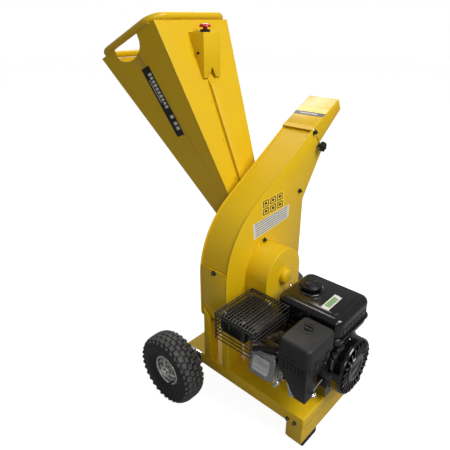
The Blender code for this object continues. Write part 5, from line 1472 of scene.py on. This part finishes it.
        top_ribs.box(neck + Vector((0.0080, -0.0013, 0.0250)), neck + Vector((0.0205, 0.0013, 0.0268)),
                     0.0007, 1)
        top_ribs.spun(6, neck, Axis.Z)
        ribs.take(top_ribs.bm)
        ribs.piece("fuel_cap_ribs", PLASTIC, "fuel_cap")
        self.tank_panels(low, high, seam)

    def tank_panels(self, low: Vector, high: Vector, seam: float) -> None:
        """Adds the blank label on the tank's top and the framed panel on its end."""
        z = high.z + 0.0019
        corners = [at(0.2720, 0.030, 0.0), at(0.2985, 0.026, 0.0), at(0.3005, -0.0585, 0.0),
                   at(0.2735, -0.058, 0.0)]
        ring = [Vector((p.x, p.y, z)) for p in reversed(corners)]
        Shape().patch(ring, 0.0004).piece("tank_label", LABEL_WHITE)
        inner = [ring[0].lerp(ring[2], 0.16), ring[1].lerp(ring[3], 0.16), ring[2].lerp(ring[0], 0.16),
                 ring[3].lerp(ring[1], 0.16)]
        Shape().patch([p + Vector((0.0, 0.0, 0.0004)) for p in inner], 0.0002).piece("tank_label_field",
                                                                                     LABEL_GREEN)
        frame_strip = Shape()
        x = high.x - 0.0030
        for y0, y1, z0, z1 in ((low.y + 0.030, high.y - 0.030, seam + 0.0075, seam + 0.0095),
                               (low.y + 0.030, high.y - 0.030, seam + 0.0285, seam + 0.0305),
                               (low.y + 0.030, low.y + 0.032, seam + 0.0075, seam + 0.0305),
                               (high.y - 0.032, high.y - 0.030, seam + 0.0075, seam + 0.0305)):
            frame_strip.box(Vector((x - 0.001, y0, z0)), Vector((x + 0.0016, y1, z1)), 0.0006)
        for k in range(5):
            y = low.y + 0.046 + k * 0.022
            frame_strip.box(Vector((x - 0.001, y, seam + 0.0135)),
                            Vector((x + 0.0012, y + 0.013, seam + 0.0165)),
                            0.0005)
            frame_strip.box(Vector((x - 0.001, y + 0.003, seam + 0.0205)), Vector((x + 0.0012, y + 0.016,
                            seam + 0.0235)), 0.0005)
        frame_strip.piece("tank_end_panel", ENAMEL)

    def air_cleaner(self) -> None:
        """Builds the cleaner's domed cover with its recessed knob, and dresses its body."""
        low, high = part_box("air_cleaner_cover")
        high = high + Vector((0.005, 0.006, 0.008))
        cover = Shape()
        cover.prism(rounded((low.x, low.y), (high.x, high.y), 0.018, 6), Axis.Z, low.z + 0.006, high.z, 0.011,
                    4)
        cover.prism(rounded((low.x - 0.0012, low.y - 0.0012), (high.x + 0.0012, high.y + 0.0012), 0.018, 6),
                    Axis.Z,
                    low.z + 0.0070, low.z, 0.0010)
        cover.piece("air_cleaner_lid", PLASTIC_GREY, "machine", ["air_cleaner_cover"], 40.0)
        hub = at(0.2910, -0.147, 0.0)
        hub.z = high.z
        arc = Shape().lathe([(0.0215, -0.0004), (0.0275, -0.0004), (0.0270, 0.0012), (0.0245, 0.0020),
                             (0.0220, 0.0012)], hub, Axis.Z, 56)
        arc.piece("air_cleaner_ring", PLASTIC_GREY, smooth=50.0)
        knob = Shape().lathe([(0.0, 0.0), (0.0140, 0.0), (0.0140, 0.0040), (0.0120, 0.0055), (0.0, 0.0058)],
                             hub,
                             Axis.Z, 40)
        knob.box(hub + Vector((-0.0130, -0.0030, 0.0045)), hub + Vector((0.0130, 0.0030, 0.0098)), 0.0018)
        knob.piece("air_cleaner_knob", PLASTIC, smooth=40.0)
        dish = Shape().lathe([(0.0, 0.0001), (0.0215, 0.0001), (0.0215, 0.0008), (0.0, 0.0008)], hub, Axis.Z,
                             48)
        dish.piece("air_cleaner_dish", PLASTIC)
        body = refined("air_cleaner_body", PLASTIC, 0.0030, smooth=40.0)
        self.lean(body, low.z - 0.045, Vector((0.014, 0.013, 0.006)))
        body_low, body_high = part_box("air_cleaner_body")
        ribs = Shape()
        for k in range(6):
            x = body_low.x + 0.016 + 0.0125 * k
            ribs.box(Vector((x, body_low.y - 0.0014, body_high.z - 0.040)),
                     Vector((x + 0.0030, body_low.y + 0.002, body_high.z - 0.004)), 0.0007)
        for k in range(6):
            y = body_low.y + 0.018 + 0.016 * k
            ribs.box(Vector((body_high.x - 0.002, y, body_high.z - 0.040)),
                     Vector((body_high.x + 0.0014, y + 0.0030, body_high.z - 0.004)), 0.0007)
        ribs.piece("air_cleaner_ribs", PLASTIC)
        clips = Shape()
        for y in (low.y + 0.040, high.y - 0.040):
            clips.box(Vector((high.x + 0.0002, y - 0.008, low.z - 0.012)), Vector((high.x + 0.0032, y + 0.008,
                      low.z + 0.010)), 0.0012)
        clips.piece("air_cleaner_clips", PLASTIC)

    @staticmethod
    def lean(item: bpy.types.Object, start: float, shift: Vector) -> None:
        """Leans the part of a piece below a height sideways, the more the lower it is."""
        foot = min(v.co.z for v in item.data.vertices)
        for vertex in item.data.vertices:
            share = max(0.0, start - vertex.co.z) / (start - foot)
            vertex.co += shift * share

    def carburettor(self) -> None:
        """Dresses the carburettor and adds its bowl bolt and linkage springs."""
        refined("carburettor", CASTING, 0.0018, smooth=40.0)
        low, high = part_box("carburettor")
        small = Shape()
        bowl = Vector(((low.x + 0.0415), (low.y + high.y) / 2 + 0.004, low.z))
        small.bolt(bowl, Axis.Z, -1.0, 0.009, 0.007)
        small.piece("carburettor_bolt", CHROME)
        hooks = Shape()
        for start, middle, end in (((0.131, -0.038, 0.436), (0.124, -0.022, 0.444), (0.128, -0.010, 0.434)),
                                   ((0.150, -0.037, 0.434), (0.158, -0.024, 0.440), (0.150, -0.013, 0.432)),
                                   ((0.117, 0.026, 0.430), (0.112, 0.020, 0.440), (0.118, 0.012, 0.432))):
            path = filleted([at(*start), at(*middle), at(*end)], 0.006, 5)
            hooks.tube(path, 0.0021, 10)
        hooks.piece("tank_clip_springs", CHROME, smooth=60.0)
        rods = Shape()
        rods.tube(filleted([at(0.300, -0.118, 0.330), at(0.318, -0.106, 0.336), at(0.350, -0.100, 0.338)],
                           0.008),
                  0.0011, 8)
        coil = [at(0.300 + 0.0016 * k, -0.112 + 0.0042 * math.cos(k * 1.05),
                   0.322 + 0.0042 * math.sin(k * 1.05))
                for k in range(26)]
        rods.tube(coil, 0.0006, 6)
        rods.piece("governor_linkage", ZINC, smooth=60.0)

    def exhaust(self) -> None:
        """Dresses the muffler, with its louvred heat guard, outlet and pipe."""
        refined("muffler", HEAT_BLACK, 0.0016, smooth=40.0)
        low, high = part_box("muffler")
        guard = Shape()
        top = high.z + 0.0035
        guard.prism(rounded((low.x + 0.002, low.y + 0.004), (high.x - 0.002, high.y - 0.004), 0.010), Axis.Z,
                    high.z + 0.0008, top, 0.0010)
        louvre_turn = Matrix.Rotation(-0.5, 4, "X")
        for k in range(9):
            y = low.y + 0.018 + k * (high.y - low.y - 0.036) / 8
            guard.box(Vector((low.x + 0.014, y - 0.0040, top - 0.0006)), Vector((high.x - 0.014, y + 0.0040,
                      top + 0.0012)), 0.0005, 1, louvre_turn)
        guard.piece("muffler_guard", HEAT_BLACK)
        side = Shape()
        for k in range(7):
            z = low.z + 0.012 + k * 0.0085
            side.box(Vector((low.x + 0.012, low.y - 0.0016, z - 0.0028)),
                     Vector((high.x - 0.012, low.y + 0.0006,
                     z + 0.0028)), 0.0005, 1, Matrix.Rotation(0.45, 4, "X"))
            side.box(Vector((low.x - 0.0016, low.y + 0.016, z - 0.0028)),
                     Vector((low.x + 0.0006, high.y - 0.016,
                     z + 0.0028)), 0.0005, 1, Matrix.Rotation(-0.45, 4, "Y"))
        side.piece("muffler_louvres", HEAT_BLACK)
        neck = Shape()
        neck.box(Vector((high.x - 0.006, low.y + 0.010, low.z + 0.012)),
                 Vector((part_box("muffler_cage")[1].x - 0.010, high.y - 0.004, high.z - 0.003)), 0.010, 4)
        neck.piece("muffler_neck", HEAT_BLACK, smooth=40.0)
        pipe = Shape()
        pipe.rod(Vector((high.x - 0.004, (low.y + high.y) / 2, low.z + 0.016)),
                 Vector((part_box("cylinder_head")[0].x + 0.002, (low.y + high.y) / 2, low.z + 0.016)), 0.013,
                 24, 0.001)
        pipe.piece("exhaust_stub", IRON)
        screws = Shape()
        for x in (low.x + 0.009, high.x - 0.009):
            for y in (low.y + 0.011, high.y - 0.011):
                screws.bolt(Vector((x, y, top)), Axis.Z, 1.0, 0.006, 0.0046)
        screws.piece("muffler_guard_screws", ZINC)

    def cage(self) -> None:
        """Bends and spaces the wires of the muffler's cage."""
        low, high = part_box("muffler_cage")
        wire = self.wire
        x0, x1, y0, y1 = low.x + wire, high.x - wire, low.y + wire, high.y - wire
        z0, z1 = low.z + wire, high.z - wire
        cage = Shape()
        count = 14
        for k in range(count):
            x = x0 + 0.004 + (x1 - x0 - 0.008) * k / (count - 1)
            drop = 0.010 if k % 5 else z1 - z0 - 0.062
            path = [Vector((x, y0, z1 - drop)), Vector((x, y0, z1)), Vector((x, y1, z1)),
                    Vector((x, y1, z1 - 0.012))]
            cage.tube(filleted(path, 0.0045, 3), wire, 7)
        rows = 8
        for k in range(1, rows):
            z = z1 - (z1 - z0) * k / (rows - 1) + 0.002
            reach = 0.020 if k < 4 else x1 - x0 - 0.010
            path = [Vector((x0 + reach, y0, z)), Vector((x0, y0, z)), Vector((x0, y1, z)),
                    Vector((x0 + 0.014, y1, z))]
            cage.tube(filleted(path, 0.0045, 3), wire, 7)
        for k in range(1, 4):
            z = z1 - 0.0137 * k
            path = [Vector((x1 - 0.016, y0, z)), Vector((x1, y0, z)), Vector((x1, y1, z)),
                    Vector((x1 - 0.016, y1, z))]
            cage.tube(filleted(path, 0.0045, 3), wire, 7)
        for y in (y0, y1):
            for z in (z1 - 0.0022, z1 - 0.0125):
                cage.tube([Vector((x0 + 0.002, y, z)), Vector((x1, y, z))], wire * 1.15, 8)
        for x in (x0 + 0.0028, x1 - 0.012):
            for y in (y0 + 0.003, y1 - 0.003):
                cage.tube([Vector((x, y, z1 - 0.002)), Vector((x, y, z0 + 0.002))], wire * 1.25, 8)
        cage.piece("muffler_cage_wires", WIRE, "machine", ["muffler_cage"], 60.0)
        straps = Shape()
        straps.box(Vector((x1 - 0.014, y1 - 0.0055, z0 + 0.020)),
                   Vector((x1 - 0.002, y1 - 0.0025, z1 - 0.002)), 0.001)
        straps.piece("cage_strap", ENAMEL)

    def controls(self) -> None:
        """Dresses the levers, stop switch and its bracket."""
        refined("throttle_lever", STEEL, 0.0006)
        low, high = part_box("throttle_lever")
        tip = Shape()
        tip.box(Vector((low.x - 0.001, low.y - 0.001, high.z - 0.0150)),
                Vector((high.x + 0.001, high.y + 0.001,
                high.z + 0.0010)), 0.0035, 3)
        tip.piece("throttle_tip", PLASTIC, "throttle_lever", smooth=40.0)
        for node in ("choke_lever", "fuel_lever"):
            refined(node, ZINC, 0.0005)
            lever_low, lever_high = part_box(node)
            end = Shape()
            end.box(Vector((lever_low.x - 0.0012, lever_low.y - 0.001, lever_low.z - 0.0012)),
                    Vector((lever_high.x + 0.0012, lever_low.y + 0.010, lever_high.z + 0.0012)), 0.0014)
            end.piece(node + "_tip", PLASTIC, node)
        refined("switch_box", PLASTIC, 0.0016)
        low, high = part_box("stop_switch")
        middle = (low + high) / 2
        face = Vector((low.x, middle.y, middle.z))
        switch = Shape()
        switch.lathe([(0.0, 0.0), (0.0088, 0.0), (0.0088, 0.0022), (0.0078, 0.0030), (0.0, 0.0030)], face,
                     Axis.X, 36)
        switch.box(face + Vector((0.0022, -0.0024, -0.0084)), face + Vector((0.0056, 0.0024, 0.0084)), 0.0012)
        switch.piece("stop_switch_knob", PLASTIC_GREY, "stop_switch", ["stop_switch"], 40.0)


# ------------------------------------------------------------------ stage
@dataclass
class Stage:
    """The floor, lights, surroundings and camera."""

    lens: float = 35.09
    eye: tuple[float, float, float] = (0.7994, -1.0481, 1.2504)
    pitch: float = math.radians(24.956)
    heading: float = math.radians(42.613)
    shift: tuple[float, float] = (-0.0025, -0.0078)
    bounce: float = 0.30
    glow: float = 0.92
    ambient: float = 0.25
    aim: tuple[float, float, float] = (0.1, 0.0, 0.5)
    lamps: tuple[tuple[str, tuple[float, float, float], float, float], ...] = (
        ("key", (2.4, 0.1, 3.2), 1.6, 100.0),
        ("front", (2.6, -2.2, 1.9), 0.9, 16.0),
        ("behind", (-1.9, 2.0, 3.5), 1.8, 60.0))

    def build(self) -> None:
        """Sets the stage."""
        self.floor()
        self.camera()
        self.lights()

    def seen(self, tree: bpy.types.NodeTree) -> bpy.types.NodeSocket:
        """Returns the socket that is one where a surface is looked at straight."""
        return tree.nodes.new("ShaderNodeLightPath").outputs["Is Camera Ray"]

    def floor(self) -> None:
        """Lays a wide pale floor, whose glow keeps it pale without lighting the machine from below."""
        shape = Shape()
        shape.box(Vector((-14.0, -14.0, -0.02)), Vector((14.0, 14.0, -0.0002)), 0.002, 1)
        mesh = bpy.data.meshes.new("floor")
        shape.bm.to_mesh(mesh)
        shape.bm.free()
        material = bpy.data.materials.new("pale_floor")
        material.use_nodes = True
        tree = material.node_tree
        shader = tree.nodes["Principled BSDF"]
        shader.inputs["Base Color"].default_value = (self.bounce, self.bounce, self.bounce, 1.0)
        shader.inputs["Roughness"].default_value = 0.9
        shader.inputs["Specular IOR Level"].default_value = 0.0
        shader.inputs["Emission Color"].default_value = (1.0, 1.0, 1.0, 1.0)
        glow = tree.nodes.new("ShaderNodeMath")
        glow.operation = "MULTIPLY"
        glow.inputs[1].default_value = self.glow
        tree.links.new(self.seen(tree), glow.inputs[0])
        tree.links.new(glow.outputs["Value"], shader.inputs["Emission Strength"])
        mesh.materials.append(material)
        floor = bpy.data.objects.new("floor", mesh)
        bpy.context.scene.collection.objects.link(floor)

    def camera(self) -> None:
        """Places the camera."""
        data = bpy.data.cameras.new("camera")
        data.lens = self.lens
        data.sensor_width = 36.0
        data.shift_x, data.shift_y = self.shift
        data.clip_end = 60.0
        camera = bpy.data.objects.new("camera", data)
        camera.location = at(*self.eye)
        camera.rotation_euler = (math.pi / 2 - self.pitch, 0.0, self.heading)
        bpy.context.scene.collection.objects.link(camera)
        bpy.context.scene.camera = camera

    def lamp(self, name: str, place: Vector, aim: Vector, size: float, power: float,
             colour: Colour = (1.0, 1.0, 1.0)) -> None:
        """Adds a soft square lamp aimed at a point."""
        data = bpy.data.lights.new(name, "AREA")
        data.shape = "SQUARE"
        data.size = size
        data.energy = power
        data.color = colour
        lamp = bpy.data.objects.new(name, data)
        lamp.location = place
        lamp.rotation_euler = (aim - place).to_track_quat("-Z", "Y").to_euler()
        bpy.context.scene.collection.objects.link(lamp)

    def lights(self) -> None:
        """Lights the machine from above and the engine's side, with a weaker lamp behind it."""
        world = bpy.data.worlds.new("studio")
        world.use_nodes = True
        tree = world.node_tree
        strength = Shading.ramp(tree, self.seen(tree), 0.0, 1.0, self.ambient, 1.0)
        tree.nodes["Background"].inputs["Color"].default_value = (1.0, 1.0, 1.0, 1.0)
        tree.links.new(strength, tree.nodes["Background"].inputs["Strength"])
        bpy.context.scene.world = world
        bpy.context.scene.view_settings.view_transform = "Standard"
        for name, place, size, power in self.lamps:
            self.lamp(name, Vector(place), Vector(self.aim), size, power)


def main() -> None:
    """Builds the looks in order and reports each piece."""
    logging.basicConfig(level=logging.INFO, format="%(message)s")
    parts = (Stage(), TrayBase(), Wheel("near", -1.0), Wheel("far", 1.0), DiscHousing(), BeltGuard(),
             Hopper(),
             Deflector(), Engine())
    for part in parts:
        known = set(bpy.data.objects)
        part.build()
        for item in sorted((o for o in bpy.data.objects if o not in known), key=lambda o: o.name):
            LOG.info("%s: %s", type(part).__name__, item.name)


if __name__ == "__main__":
    main()
